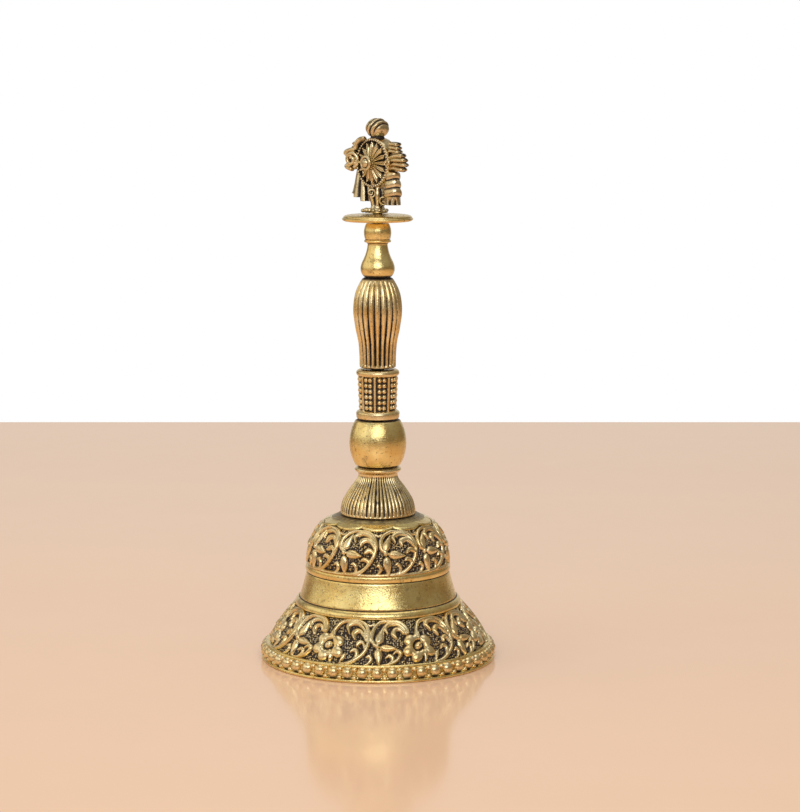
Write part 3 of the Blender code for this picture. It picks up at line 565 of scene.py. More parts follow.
def raiseFlower(rise, places, centre, petalSize, high):
    # Round petals on a ring about a bead. A petal's height is (1 - d^2)^0.32 and the ring's is (1 - d^2)^0.4,
    # where d is a share of the half width. The ring joins the petals' feet, and a hollow parts them from the
    # bead.
    flower = flowerShape
    away = places - centre
    distance = np.linalg.norm(away, axis=1) / petalSize
    for k in range(flower["petals"]):
        angle = np.radians(360 / flower["petals"] * k + flower["firstPetal"])
        middle = flower["petalsAt"] * petalSize * np.array((np.cos(angle), np.sin(angle)))
        fromPetal = ((away - middle) ** 2).sum(axis=1) / petalSize**2
        rise = np.maximum(rise, high * np.clip(1 - fromPetal, 0, 1) ** 0.32)
    fromRing = (distance - flower["ringAt"]) / flower["ringHalf"]
    rise = np.maximum(rise, flower["ringRise"] * high * np.clip(1 - fromRing**2, 0, 1) ** 0.4)
    rise = np.where(distance < flower["hollow"], np.minimum(rise, 0.12), rise)
    button = (high + 0.12) * np.sqrt(np.clip(1 - (distance / flower["button"]) ** 2, 0, 1))
    return np.maximum(rise, button)


def makeScrolls(name, scrolls):
    # One repeat of the relief is laid round the bell, and the outer wall stands out by it. The back of the
    # ring is the same wall moved in, with an eighth of its rows, so that the whole is a closed ring. Wear
    # is 1.15 * rise, and more where the relief stands above its surroundings.
    rise, line = scrollRelief(scrolls)
    rise = np.tile(rise, (1, scrolls["repeats"]))
    turn = fullTurn(rise.shape[1]) - math.pi / scrolls["repeats"]
    stand = rise - spread(rise, scrollWear["reach"])
    wearAndShade = np.clip(scrollWear["rise"] * rise + scrollWear["stand"] * stand, 0, 1)
    front = around(line, turn, scrolls["relief"] * (rise - 1))
    back = around(line, turn, -scrolls["relief"] - scrolls["shell"])[::-1][::8]
    wearAndShade = np.vstack((wearAndShade, np.full(back.shape[:2], scrollWear["back"])))
    makePiece(name, [skin(np.vstack((front, back)), wearAndShade, ring=True)], metals["agedBrass"],
              ["bell_bowl"])


makeScrolls("upperScrollBand", upperScrolls)
makeScrolls("lowerScrollBand", lowerScrolls)


rim = {"count": 49, "ring": 37.1, "height": 3.0, "beadRadius": 2.04,
       "wedges": ((4.2, 0.5, 0.95), (1.65, 0.9, 0.85))}


def makeRimBeads():
    # A ball for each step round the lip, with a small rounded wedge between each two, above and below.
    skins = []
    for k in range(rim["count"]):
        turn = 2 * math.pi * k / rim["count"]
        place = (rim["ring"] * math.sin(turn), -rim["ring"] * math.cos(turn), rim["height"])
        # Each bead gets painted shade from the ball's default: dark below and light above.
        skins.append(ballSkin(place, rim["beadRadius"], 20, 13, wearAndShade=None))
        turn += math.pi / rim["count"]
        for height, reach, size in rim["wedges"]:
            wedge = ((rim["ring"] + reach) * math.sin(turn), -(rim["ring"] + reach) * math.cos(turn), height)
            skins.append(ballSkin(wedge, size, 10, 7, (1.1, 1.1, 0.8), wearAndShade=0.95))
    makePiece("rimBeads", skins, metals["agedBrass"], ["bell_bowl"])


makeRimBeads()


foot = {
    "ribs": 52, "ribDepth": 0.5, "perRib": 12, "bore": 2.35, "seed": 5, "flaws": 16, "flawDirt": 0.55,
    "side": [(12.3, 0.0), (12.4, 0.3), (12.35, 1.3), (12.1, 2.7), (11.5, 4.7), (10.2, 6.9), (8.7, 9.1),
             (7.2, 11.0), (6.5, 12.5), (6.55, 13.6)],
}


def makeFoot():
    # A flared outline whose ribs are cut by depth * (1 - |cos|), by a different share at each groove, faded
    # out at both ends. Dirty flaws are scattered on it, each fading as exp(-d^2).
    low, high = lowHigh("handle_foot")
    side = evenly(smoothLine(foot["side"], 14), 84)
    tall = high - low
    collar = np.vstack(([(6.9, 13.85)], roundEdge((7.05, 14.75), 0.62, -60, 60, 8), [(6.95, 15.45)],
                        [(6.85, tall - 0.05)]))
    turn = fullTurn(foot["ribs"] * foot["perRib"])
    chance = np.random.default_rng(foot["seed"])
    shares = chance.uniform(0.55, 1.15, foot["ribs"])
    groove = (1 - np.abs(np.cos(foot["ribs"] / 2 * turn))) * np.repeat(shares, foot["perRib"])
    fade = easeIn(side[:, 1:], 0.2, 1.0) * (1 - easeIn(side[:, 1:], 12.4, 13.3))
    outline = np.vstack((side, collar, [(foot["bore"], tall), (foot["bore"], 0.0)]))
    outline[:, 1] += low
    depth = np.vstack((fade, np.zeros((len(outline) - len(side), 1)))) * groove
    radius = outline[:, :1] - foot["ribDepth"] * depth
    wearAndShade = hollowWear(outline, 0.6) - 1.35 * depth
    for place, up, size in chance.uniform((0, low + 1, 0.5), (2 * np.pi, low + 11, 1.0), (foot["flaws"], 3)):
        aside = ((turn - place + np.pi) % (2 * np.pi) - np.pi) * outline[:, :1]
        wearAndShade = wearAndShade - foot["flawDirt"] * np.exp(-(aside**2 + (outline[:, 1:] - up) ** 2) / size**2)
    ribbed = skin(turned(radius, outline[:, 1:], turn), np.clip(wearAndShade, 0, 1), ring=True)
    makePiece("ribbedFoot", [ribbed], metals["agedBrass"], ["handle_foot"])


ball = {"radius": 9.4, "stretch": 1.28, "edge": 0.5, "bore": 2.35}


def makeBall():
    # An egg: the radius is r sqrt(1 - h^2), where h is the height from the middle as a share of the ellipse's
    # half height. Both flat ends have a small bevelled edge, and dirt lies along it.
    low, high = lowHigh("handle_ball")
    tall = high - low
    z = np.linspace(0, tall, 60)
    share = (z - tall / 2) / (ball["radius"] * ball["stretch"])
    side = np.column_stack((ball["radius"] * np.sqrt(1 - share**2), z + low))
    side[0, 0] = side[1, 0] - ball["edge"]
    side[-1, 0] = side[-2, 0] - ball["edge"]
    brightShare = easeIn(np.minimum(z, tall - z), 0.05, 0.45)[:, None]
    egg = turnedSkin(side, 128, ball["bore"], brightShare=brightShare)
    makePiece("smoothBall", [egg], metals["polishedBrass"], ["handle_ball"])


drum = {"bars": 8, "firstBar": -8.8, "barHalf": 0.42, "pitch": 1.84, "beadSize": 0.8, "ground": 0.62,
        "bore": 2.35, "wall": ((6.15, 3.0), (6.6, 14.1)), "top": 16.5, "columns": 384}


def makeDrum():
    # Between two rounded collars the wall is set back. Bars and domes stand on it: a bar is a rounded strip
    # in turn, and a bead is sqrt(1 - d^2) about each crossing of a column and a row.
    low = lowHigh("beaded_drum")[0]
    lowCollar = np.vstack(([(5.9, 0.0)], roundEdge((6.35, 0.75), 0.7, -75, 0, 6),
                           roundEdge((6.05, 1.75), 1.15, 10, 75, 8)))
    highCollar = np.vstack(([(6.1, 14.15)], roundEdge((6.05, 15.3), 1.05, -75, 75, 14),
                            [(6.0, drum["top"])]))
    side = evenly(np.array(drum["wall"]), 92)
    wall = side - (drum["ground"], 0)
    turn = fullTurn(drum["columns"])
    step = 2 * np.pi / drum["bars"]
    inBar = (turn - math.radians(drum["firstBar"]) + step / 2) % step - step / 2
    barShare = np.abs(inBar) * side[:, :1] / drum["barHalf"]
    rise = drum["ground"] * 0.95 * np.sqrt(np.clip(1 - barShare**4, 0, 1))
    up = side[:, 1:] - drum["wall"][0][1] - 0.14
    inRow = (up % drum["pitch"]) - drum["pitch"] / 2
    for column in (-1, 1):
        aside = (inBar - column * step / 3) * side[:, :1]
        dome = np.sqrt(np.clip(1 - (aside**2 + inRow**2) / drum["beadSize"] ** 2, 0, 1))
        rise = np.maximum(rise, (drum["ground"] + 0.12) * dome)
    wallWear = np.clip(0.05 + rise / drum["ground"], 0, 1)
    line = np.vstack((lowCollar, wall, highCollar, [(drum["bore"], drum["top"]), (drum["bore"], 0.0)]))
    before, after = len(lowCollar), len(highCollar) + 2
    rise = np.pad(rise, ((before, after), (0, 0)))
    wearAndShade = hollowWear(line, 0.6) + 0 * turn
    wearAndShade[before:-after] = wallWear
    beaded = skin(turned(line[:, :1] + rise, line[:, 1:] + low, turn), wearAndShade, ring=True)
    makePiece("beadedDrum", [beaded], metals["agedBrass"], ["beaded_drum"])


grip = {
    "flutes": 22, "depth": 1.1, "perFlute": 20, "bore": 2.35,
    "side": [(4.4, 0.0), (5.75, 0.35), (6.0, 1.2), (6.05, 4.0), (6.4, 8.6), (7.35, 13.2), (8.05, 18.6),
             (7.75, 23.0), (6.95, 25.9), (5.7, 28.4), (5.0, 29.4)],
}


def makeGrip():
    # A pear outline whose ribs are parted by grooves of depth * (1 - |cos|^p). Here p falls from 1.15 low
    # down to 0.6 at the top, so that the grooves change in width. They fade out at both ends.
    low, high = lowHigh("fluted_grip")
    tall = high - low
    side = evenly(smoothLine(grip["side"] + [(4.3, tall)], 12), 110)
    turn = fullTurn(grip["flutes"] * grip["perFlute"])
    power = 1.15 - 0.55 * easeIn(side[:, 1:], 6, 20)
    groove = 1 - np.abs(np.cos(grip["flutes"] / 2 * turn)) ** power
    groove = np.vstack((groove, np.zeros((2, turn.size))))
    fade = easeIn(side[:, 1:], 0.5, 1.6) * (1 - easeIn(side[:, 1:], 27.6, 29.4))
    slim = 0.62 + 0.38 * (1 - easeIn(side[:, 1:], 19, 27))
    depth = np.vstack((fade * slim, np.zeros((2, 1)))) * groove
    outline = np.vstack((side, [(grip["bore"], tall), (grip["bore"], 0.0)]))
    points = turned(outline[:, :1] - grip["depth"] * depth, outline[:, 1:] + low, turn)
    endDirt = np.vstack((easeIn(np.minimum(side[:, 1:] + 0.3, tall - side[:, 1:] + 0.2), 0.2, 1.8),
                         np.zeros((2, 1))))
    wearAndShade = np.clip(0.1 + 0.9 * endDirt - 1.3 * depth, 0, 1)
    makePiece("flutedGrip", [skin(points, wearAndShade, ring=True)], metals["agedBrass"],
              ["fluted_grip"])


neck = {
    "bulb": [(4.5, 0.0), (5.1, 0.75), (5.55, 2.0), (5.55, 3.3), (5.1, 4.7), (4.3, 6.4), (3.65, 8.3),
             (3.3, 10.1), (3.3, 10.75)],
    "top": [(4.25, 12.6), (4.45, 14.0), (4.4, 15.3), (4.05, 16.6)], "bores": (2.35, 1.85), "dirtyTo": 1.1,
}


def makeNeck():
    # Bulb, waist, ring and ball in one turned outline, with ragged dirt at its foot.
    low, high = lowHigh("handle_neck")
    tall = high - low
    bulb = smoothLine(neck["bulb"], 8)
    ring = np.vstack(([(3.55, 11.0)], roundEdge((3.95, 11.62), 0.45, -70, 70, 7),
                      [(4.0, 12.15), (4.12, 12.3)]))
    top = smoothLine(neck["top"] + [(3.7, tall - 0.15), (3.3, tall)], 6)
    line = np.vstack((bulb, ring, top)) + (0, low)
    brightShare = easeIn(line[:, 1:] - low, 0.1, neck["dirtyTo"])
    bulbs = turnedSkin(line, 112, *neck["bores"], brightShare=brightShare)
    makePiece("neckBulb", [bulbs], metals["polishedBrass"], ["handle_neck"])


plate = {
    "edge": [(1.85, 0.15), (9.6, 0.3), (10.9, 0.45), (11.45, 0.75), (11.6, 1.15), (11.35, 1.5)],
    "step": [(11.1, 1.62), (11.15, 1.75)], "topDirt": 0.35,
    "top": [(11.05, 1.95), (10.5, 2.25), (9.2, 2.5), (6.0, 2.7), (1.85, 2.8)],
}


def makePlate():
    # A thin disc with a rounded, stepped edge, and some dirt on its top.
    low = lowHigh("finial_plate")[0]
    line = np.vstack((smoothLine(plate["edge"], 6), plate["step"], smoothLine(plate["top"], 5))) + (0, low)
    wearAndShade = np.clip(hollowWear(line, 0.5) - plate["topDirt"] * easeIn(line[:, 1:] - low, 2.2, 2.5), 0, 1)
    disc = skin(turned(line[:, :1], line[:, 1:], fullTurn(128)), wearAndShade, ring=True)
    makePiece("roundPlate", [disc], metals["polishedBrass"], ["finial_plate"])


makeFoot()
makeBall()
makeDrum()
makeGrip()
makeNeck()
makePlate()


# The finial's points are in the wheel's own frame: across its face, out of its face, and up from its centre.
finial = {
    "turn": -50.0, "radius": 8.05, "width": 4.6, "petals": 16, "petalRise": 1.6, "pearls": 48,
    "pearlSize": 0.42, "columns": 416, "wheelUp": 16.2,
}
finialLow, finialHigh = lowHigh("chakra_finial")
wheelCentre = finialLow + finial["wheelUp"]


def placed(points):
    # The wheel's frame turned about the bell's axis and lifted to the wheel's centre. The middle value is
    # out of the face, towards the front.
    points = np.asarray(points, float)
    turn = math.radians(finial["turn"])
    across, out = points[..., 0], -points[..., 1]
    return np.stack((across * math.cos(turn) - out * math.sin(turn),
                     across * math.sin(turn) + out * math.cos(turn), points[..., 2] + wheelCentre), axis=-1)


def wheelFace(radius, angle):
    # How far the face stands out of the wheel's middle, and how much of that is petal or pearl. A low cone
    # carries long pointed petals with a crease, and the raised border a string of round pearls.
    half = finial["width"] / 2
    step = 2 * np.pi / finial["petals"]
    aside = ((angle + step / 2) % step - step / 2) * radius
    t = np.clip((radius - 2.1) / 4.9, 0, 1)
    width = 1.08 * np.clip(np.sin(np.pi * t**0.85), 0.02, 1) ** 0.75
    width = np.minimum(width, 0.175 * radius)
    share = np.clip(np.abs(aside) / width, 0, 1)
    crease = 0.42 * np.exp(-(aside / 0.17) ** 2) * (t < 0.85)
    petal = np.clip(np.sqrt(1 - share**2) * np.where((t > 0) & (t < 1), 1, 0) - crease, 0, 1)
    ground = half - 1.35 + 1.3 * (1 - radius / 7.2)
    border = easeIn(radius, 7.0, 7.15) * 0.55
    pearlStep = 2 * np.pi / finial["pearls"]
    inPearl = ((angle + pearlStep / 2) % pearlStep - pearlStep / 2) * radius
    pearl = np.sqrt(np.clip(1 - (inPearl**2 + (radius - 7.55) ** 2) / finial["pearlSize"] ** 2, 0, 1))
    face = ground + finial["petalRise"] * petal
    out = np.where(radius > 7.0, half - 0.55 + border + 0.45 * pearl, face)
    return out, petal * (radius < 7.0) + pearl


def makeWheel():
    # Both faces and the rim as one closed surface: rows run from the middle of the front face, over the
    # rim, to the middle of the back face.
    angle = fullTurn(finial["columns"])
    radii = np.concatenate((np.linspace(0.3, 7.0, 40), np.linspace(7.06, 7.95, 14)))[:, None]
    out, raised = wheelFace(radii, angle)
    rimLine = np.array([(8.05, 2.15), (8.05, 1.1), (7.95, 0.0), (8.05, -1.1), (8.05, -2.15)])
    radius = np.vstack((radii + 0 * angle, rimLine[:, :1] + 0 * angle, radii[::-1] + 0 * angle))
    depth = np.vstack((out, rimLine[:, 1:] + 0 * angle, -out[::-1]))
    faceWear = np.clip(0.02 + 1.15 * raised, 0, 1)
    faceWear[radii[:, 0] > 7.75] = 0.8
    wearAndShade = np.vstack((faceWear, np.full((len(rimLine), angle.size), 0.85), faceWear[::-1]))
    points = placed(np.stack((radius * np.cos(angle), depth, radius * np.sin(angle)), axis=2))
    makePiece("finialWheel", [skin(points, wearAndShade)], metals["finialBrass"], ["chakra_finial"])


hubs = {"ringRadius": 2.05, "roll": 0.5, "bossRadius": 1.5}


def makeHubs():
    # On each face a short drum with a rolled edge and a round boss, turned about the wheel's axle.
    ring, boss = hubs["ringRadius"], hubs["bossRadius"]
    line = np.vstack(([(ring + 0.55, 1.2), (ring + 0.25, 2.8), (ring + 0.1, 4.1)],
                      roundEdge((ring, 5.0), hubs["roll"], -50, 170, 12),
                      [(boss + 0.3, 4.6), (boss + 0.02, 4.7)],
                      roundEdge((0.35, 5.0), boss - 0.35, 0, 82, 8)))
    angle = fullTurn(56)
    wearAndShade = np.clip(hollowWear(line, 0.6), 0.05, 1)
    skins = []
    for side in (1, -1):
        out = side * line[:, 1:] + 0 * angle
        points = np.stack((line[:, :1] * np.cos(angle), out, line[:, :1] * np.sin(angle)), axis=2)
        skins.append(skin(placed(points), wearAndShade))
    makePiece("wheelHubs", skins, metals["finialBrass"], ["chakra_finial"])


knob = {"radius": 3.8, "squash": 0.86, "pole": (0.50, -0.62, -0.42), "foldAngle": 0.52, "foldDepth": 0.17,
        "cap": 0.86, "columns": 96, "stem": [(2.6, 0.0), (2.2, 0.9), (2.0, 1.6), (2.4, 2.4)], "stemSunk": 0.6}


def makeKnob():
    # A ball wound with turban folds, on a dark stem. Its pole is the middle of the smooth cap, and away
    # from the cap the radius dips in a spiral of grooves: |sin| of the angle from the pole plus half the
    # angle about it.
    centre = np.array((0.0, 0.0, finialHigh - knob["radius"] * knob["squash"]))
    pole = np.array(knob["pole"]) / np.linalg.norm(knob["pole"])
    side = np.cross(pole, (0, 0, 1.0))
    side = side / np.linalg.norm(side)
    third = np.cross(pole, side)
    away = np.linspace(0.02, np.pi - 0.02, 84)[:, None]
    angle = fullTurn(knob["columns"])
    phase = (away - knob["cap"]) / knob["foldAngle"] * np.pi + angle / 2
    groove = (1 - np.abs(np.sin(phase)) ** 0.8) * easeIn(away, 0.80, 0.95)
    radius = knob["radius"] * (1 + 0.02 * easeIn(away, 0.7, 1.2) - knob["foldDepth"] * groove)
    fromPole = radius * np.sin(away)
    points = (pole * (radius * np.cos(away))[..., None] + side * (fromPole * np.cos(angle))[..., None]
              + third * (fromPole * np.sin(angle))[..., None])
    points = centre + points * (1, 1, knob["squash"])
    wearAndShade = np.clip(1.1 - 1.5 * groove, 0, 1)
    stem = np.array(knob["stem"]) + (0, wheelCentre + finial["radius"] - knob["stemSunk"])
    skins = [skin(points, wearAndShade), skin(turned(stem[:, :1], stem[:, 1:], fullTurn(32)), 0.1)]
    makePiece("turbanKnob", skins, metals["finialBrass"], ["chakra_finial"])


def spiralPath(centre, first, last, turns, startAngle, hand):
    # A spiral in the wheel's frame that rises out of its face: the radius goes evenly from first to last.
    t = np.linspace(0, 1, 48)
    angle = math.radians(startAngle) + hand * 2 * np.pi * turns * t
    radius = first + (last - first) * t
    return np.array(centre) + np.column_stack((radius * np.cos(angle), 0.9 * t, radius * np.sin(angle)))


def foldWear(sides):
    # Dirt along both edges of a strip: 1 - 1.1 |cos|^7 of the angle round it.
    return np.clip(1 - 1.1 * np.abs(np.cos(fullTurn(sides))) ** 7, 0, 1)


tufts = {"tips": ((13.4, 2.3), (14.4, 0.95), (14.8, -0.5), (13.9, -2.0)), "tongue": 0.84, "folds": 3,
         "fold": 0.66}


def makeTufts():
    # Stacked flame tongues on each side of the wheel, a pile of short folds above their roots, and a small
    # spiral beside the rim.
    skins = []
    outward = placed((0, 1, 0)) - placed((0, 0, 0))
    for side in (1, -1):
        for k, (reach, rise) in enumerate(tufts["tips"]):
            root = 1.75 - 1.2 * k
            path = smoothLine([(side * 6.9, 0, root), (side * 9.4, 0.25, root + 0.45),
                               (side * 11.8, 0.1, rise + 0.25), (side * reach, -0.2, rise)], 8)
            full = rounded(len(path), 0.2) * np.linspace(0.9, 1.0, len(path))
            skins.append(tube(placed(path), tufts["tongue"] * full, 1.9 * full, outward, 14, foldWear(14)))
        for k in range(tufts["folds"]):
            up = 3.7 + 1.15 * k
            path = smoothLine([(side * 7.0, 0.3, up + 0.3), (side * 9.6, 0.3, up + 0.25),
                               (side * (11.9 - 0.4 * k), 0.0, up - 0.1)], 8)
            full = rounded(len(path), 0.2)
            skins.append(tube(placed(path), tufts["fold"] * full, 1.7 * full, outward, 14, foldWear(14)))
        small = placed(spiralPath((side * 7.9, 2.3, 0.2), 1.05, 0.3, 1.3, 90, -side))
        skins.append(tube(small, np.linspace(0.36, 0.26, len(small)), np.full(len(small), 0.6), outward, 10))
    makePiece("flameTufts", skins, metals["finialBrass"], ["chakra_finial"])


# Each lobe is given by the heights of its two ends and how far out it reaches between them.
leftCurl = {"place": (-8.1, 5.2, 0.9), "facing": (-0.45, -0.89, 0.0), "across": (0.89, -0.45, 0.0),
            "radius": 2.2, "turns": 1.55, "firstAngle": -70, "lobes": ((0.6, 3.9, 0.9), (-3.4, -0.9, 0.6)),
            "fold": ((-6.9, 3.0, 4.3), (-6.5, 2.8, 6.0), (-5.4, 2.4, 7.2), (-3.5, 2.0, 7.7))}


def makeLeftCurl():
    # A large spiral curl beside the wheel that faces the front left, on a dull rounded back, with an outer
    # lobe above and below it. A thick fold lies against the rim over it.
    facing, across = np.array(leftCurl["facing"]), np.array(leftCurl["across"])
    centre = np.array(leftCurl["place"]) + (0, 0, wheelCentre)
    t = np.linspace(0, 1, 72)
    angle = np.radians(leftCurl["firstAngle"]) + 2 * np.pi * leftCurl["turns"] * t
    radius = leftCurl["radius"] * (1 - t) ** 0.85 + 0.2
    path = centre + across * (radius * np.cos(angle))[:, None] + facing * (1.1 * t)[:, None]
    path = path + np.outer(1.12 * radius * np.sin(angle), (0, 0, 1))
    skins = [tube(path, 0.84 - 0.24 * t, 1.5 - 0.6 * t, facing, 14),
             ballSkin(centre - facing * 1.0, 2.1, 24, 14, (1, 1, 1.1), wearAndShade=0.4)]
    for low, high, reach in leftCurl["lobes"]:
        lobe = smoothLine([centre + across * 2.0 + (0, 0, high),
                           centre - across * (1.5 + reach) + (0, 0, (low + high) / 2),
                           centre + across * 0.4 + (0, 0, low)], 10)
        full = rounded(len(lobe))
        skins.append(tube(lobe, 0.78 * full, 1.4 * full, facing, 14, foldWear(14)))
    fold = smoothLine(np.array(leftCurl["fold"]) + (0, 0, wheelCentre), 8)
    full = rounded(len(fold), 0.15)
    skins.append(tube(fold, 0.95 * full, 1.6 * full, (-0.45, -0.85, 0.3), 18, foldWear(18)))
    makePiece("leftCurl", skins, metals["finialBrass"], ["chakra_finial"])


ribbons = {
    "left": {"place": -7.6, "across": 4.3, "deep": 2.6, "top": -2.0, "bottom": -12.6, "pleats": 7,
             "depth": 0.42, "pleatFrom": 0.0, "bulges": 0, "swell": 0.0, "slim": 0.55, "flare": 0.55,
             "hemStep": 1.2},
    "right": {"place": 7.7, "across": 3.1, "deep": 2.7, "top": -2.4, "bottom": -13.4, "pleats": 8,
              "depth": 0.34, "pleatFrom": 0.74, "bulges": 3, "swell": 0.26, "slim": 0.66, "flare": 0.26,
              "hemStep": 0.0},
}


def pleatedSkin(cloth):
    # A hanging gathered cloth in metal: an oval whose radius waves with the pleats below a given share of
    # its height, swells in stacked bulges, and flares to its hem. The hem steps up from one side to the
    # other.
    v = np.linspace(0, 1, 72)[:, None]
    angle = fullTurn(cloth["pleats"] * 16)
    wave = np.abs(np.cos(cloth["pleats"] / 2 * angle)) ** 0.7
    phase = np.clip(v / 0.75 + 0.04 * np.sin(2 * angle + 1), 0, 1)
    bulge = np.abs(np.sin(np.pi * cloth["bulges"] * phase)) ** 0.55
    swell = 1 + cloth["swell"] * bulge
    close = np.sqrt(np.clip(1 - (1 - np.clip(v / 0.06, 0, 1)) ** 2, 0.01, 1))
    pleat = (1 - wave) * easeIn(v, cloth["pleatFrom"], cloth["pleatFrom"] + 0.2)
    size = (cloth["slim"] + cloth["flare"] * v) * swell * close * (1 - cloth["depth"] * pleat)
    x, y = cloth["across"] * size * np.cos(angle), cloth["deep"] * size * np.sin(angle)
    step = cloth["hemStep"] * v**4 * np.floor(2.99 * (0.5 - 0.5 * np.cos(angle)))
    z = cloth["top"] + (cloth["bottom"] - cloth["top"]) * v + step
    points = placed(np.stack((cloth["place"] + x, y, z + 0 * angle), axis=2))
    crease = (1 - easeIn(bulge, 0.2, 0.75)) * (v > 0.05) * (v < 0.76) * (cloth["bulges"] > 0)
    return skin(points, np.clip(0.98 - 1.5 * pleat - 1.0 * crease, 0, 1))


def makeRibbons():
    # The left ribbon is a plain gathered fall with a stepped hem. The right one is stacked puffs over a
    # pleated tassel.
    skins = [pleatedSkin(cloth) for cloth in ribbons.values()]
    makePiece("hangingRibbons", skins, metals["finialBrass"], ["chakra_finial"])


# A scroll is given by its side and height, and a knob by its place and radius.
pedestal = {
    "side": [(3.3, 0.05), (3.35, 0.45), (2.9, 0.9), (2.3, 1.7), (2.2, 2.6), (2.5, 3.8), (2.95, 5.2),
             (2.9, 6.4), (2.5, 7.6), (2.3, 8.6), (2.4, 9.4)],
    "lobes": 7, "lobeDepth": 0.9, "scrolls": ((-1, 6.6), (1, 4.2)), "scrollTurns": 1.2,
    "knobs": ((-3.6, -1.6, 0.9, 1.0), (-4.7, -0.4, 0.7, 0.75), (-2.6, -2.6, 0.95, 0.9),
              (-1.3, -2.9, 0.8, 0.7), (0.6, -3.0, 0.9, 0.75), (2.2, -2.4, 0.7, 0.6), (-3.4, 1.9, 0.8, 0.8),
              (2.9, 1.8, 0.7, 0.7)),
}


def makePedestal():
    # A turned stem with a lobed bulb, a scroll on each side of it and small knobs at its foot.
    line = smoothLine(pedestal["side"], 6)
    turn = fullTurn(96)
    lobes = (1 - np.abs(np.cos(pedestal["lobes"] / 2 * turn)) ** 0.8) * easeIn(line[:, 1:], 1.6, 3.2)
    lobes = lobes * (1 - easeIn(line[:, 1:], 7.4, 8.6))
    points = turned(line[:, :1] - pedestal["lobeDepth"] * lobes, line[:, 1:] + finialLow, turn)
    skins = [skin(points, np.clip(0.95 - 1.5 * lobes, 0, 1))]
    t = np.linspace(0, 1, 40)
    size = 1.45 - 1.05 * t
    for side, up in pedestal["scrolls"]:
        angle = np.radians(-80) - side * 2 * np.pi * pedestal["scrollTurns"] * t
        scroll = np.column_stack((side * 2.0 + size * np.cos(angle), -1.9 - 0.7 * t,
                                  finialLow + up + size * np.sin(angle)))
        skins.append(tube(scroll, 0.52 - 0.22 * t, 1.1 - 0.6 * t, (0, -1, 0), 12, foldWear(12)))
    for x, y, z, radius in pedestal["knobs"]:
        # Each knob gets painted shade from the ball's default: dark below and light above.
        skins.append(ballSkin((x, y, finialLow + z), radius, 16, 10, (1, 1, 0.85), wearAndShade=None))
    makePiece("scrolledPedestal", skins, metals["finialBrass"], ["chakra_finial"])


makeWheel()
makeHubs()
makeKnob()
makeTufts()
makeLeftCurl()
makeRibbons()
makePedestal()


clapper = {"eyeRadius": 2.5, "eyeWire": 0.8, "shank": 1.0, "head": 1.9, "headDepth": 1.2, "loopRadius": 2.3,
           "loopWire": 0.75, "rod": 0.95, "ballRadius": 6.0, "ballBore": 1.25, "boreDepth": 4.8}


def wireRing(centre, radius, wire, facing):
    # A ring of round wire: a small circle carried round a large one that faces along x or y.
    big, small = fullTurn(48)[0][:, None], fullTurn(14)
    reach = radius + wire * np.cos(small)
    a, b, c = reach * np.cos(big), wire * np.sin(small) + 0 * big, reach * np.sin(big)
    order = (b, a, c) if facing == "x" else (a, b, c)
    return skin(np.asarray(centre) + np.stack(order, axis=2), 0.8, ring=True)


def uprightRod(radius, low, high):
    # A round rod with small rounded ends.
    line = np.vstack((roundEdge((radius - 0.15, low + 0.15), 0.15, -85, 0, 4),
                      roundEdge((radius - 0.15, high - 0.15), 0.15, 0, 85, 4)))
    return skin(turned(line[:, :1], line[:, 1:], fullTurn(28)), 0.8)


def makeSwivelEye():
    # An eye on a headed shank, which turns in the nut.
    low, high = lowHigh("swivel_eye")
    centre = low + clapper["eyeWire"] + clapper["eyeRadius"]
    skins = [wireRing((0, 0, centre), clapper["eyeRadius"], clapper["eyeWire"], "y"),
             uprightRod(clapper["shank"], centre + clapper["eyeRadius"] - 0.3, high - 0.5),
             uprightRod(clapper["head"], high - clapper["headDepth"], high)]
    makePiece("swivelEye", skins, metals["darkSteel"], ["swivel_eye"], "swivel")


def makeClapperRod():
    # A rod whose loop hangs in the eye, crosswise to it.
    low, high = lowHigh("clapper_rod")
    centre = high - clapper["loopWire"] - clapper["loopRadius"]
    skins = [wireRing((0, 0, centre), clapper["loopRadius"], clapper["loopWire"], "x"),
             uprightRod(clapper["rod"], low, centre - clapper["loopRadius"] + 0.2)]
    makePiece("clapperRod", skins, metals["darkSteel"], ["clapper_rod"], "clapper")


def makeClapperBall():
    # A ball with a socket for the rod in its top and a faint seam round its middle.
    low, high = lowHigh("clapper_ball")
    centre = (low + high) / 2
    angle = np.radians(np.linspace(-88, 74, 44))
    radius, bore = clapper["ballRadius"], clapper["ballBore"]
    line = np.column_stack((radius * np.cos(angle), centre + radius * np.sin(angle)))
    socket = [(bore + 0.05, high - 0.15), (bore, high - 1.0), (bore, high - clapper["boreDepth"]),
              (0.05, high - clapper["boreDepth"] - 0.2)]
    line = np.vstack((line, socket))
    seam = 1 - 0.5 * np.exp(-((line[:, 1:] - centre) / 0.15) ** 2)
    points = turned(line[:, :1], line[:, 1:], fullTurn(64))
    makePiece("clapperBall", [skin(points, seam)], metals["plainBrass"], ["clapper_ball"],
              "clapper")


makeSwivelEye()
makeClapperRod()
makeClapperBall()

# CAD nodes whose shape is right keep their mesh and get a metal of their own.
nodeMetals = {"tie_rod": "darkSteel", "finial_stud": "darkSteel", "crown_washer": "plainBrass",
              "hanger_nut": "plainBrass"}
for kind in ("darkSteel", "plainBrass"):
    metals[kind + "Plain"] = makeMetal(kind + "Plain", metalLooks[kind], hasWear=False)
for node, kind in nodeMetals.items():
    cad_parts[node].data.materials.clear()
    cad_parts[node].data.materials.append(metals[kind + "Plain"])
print("inner parts ready")


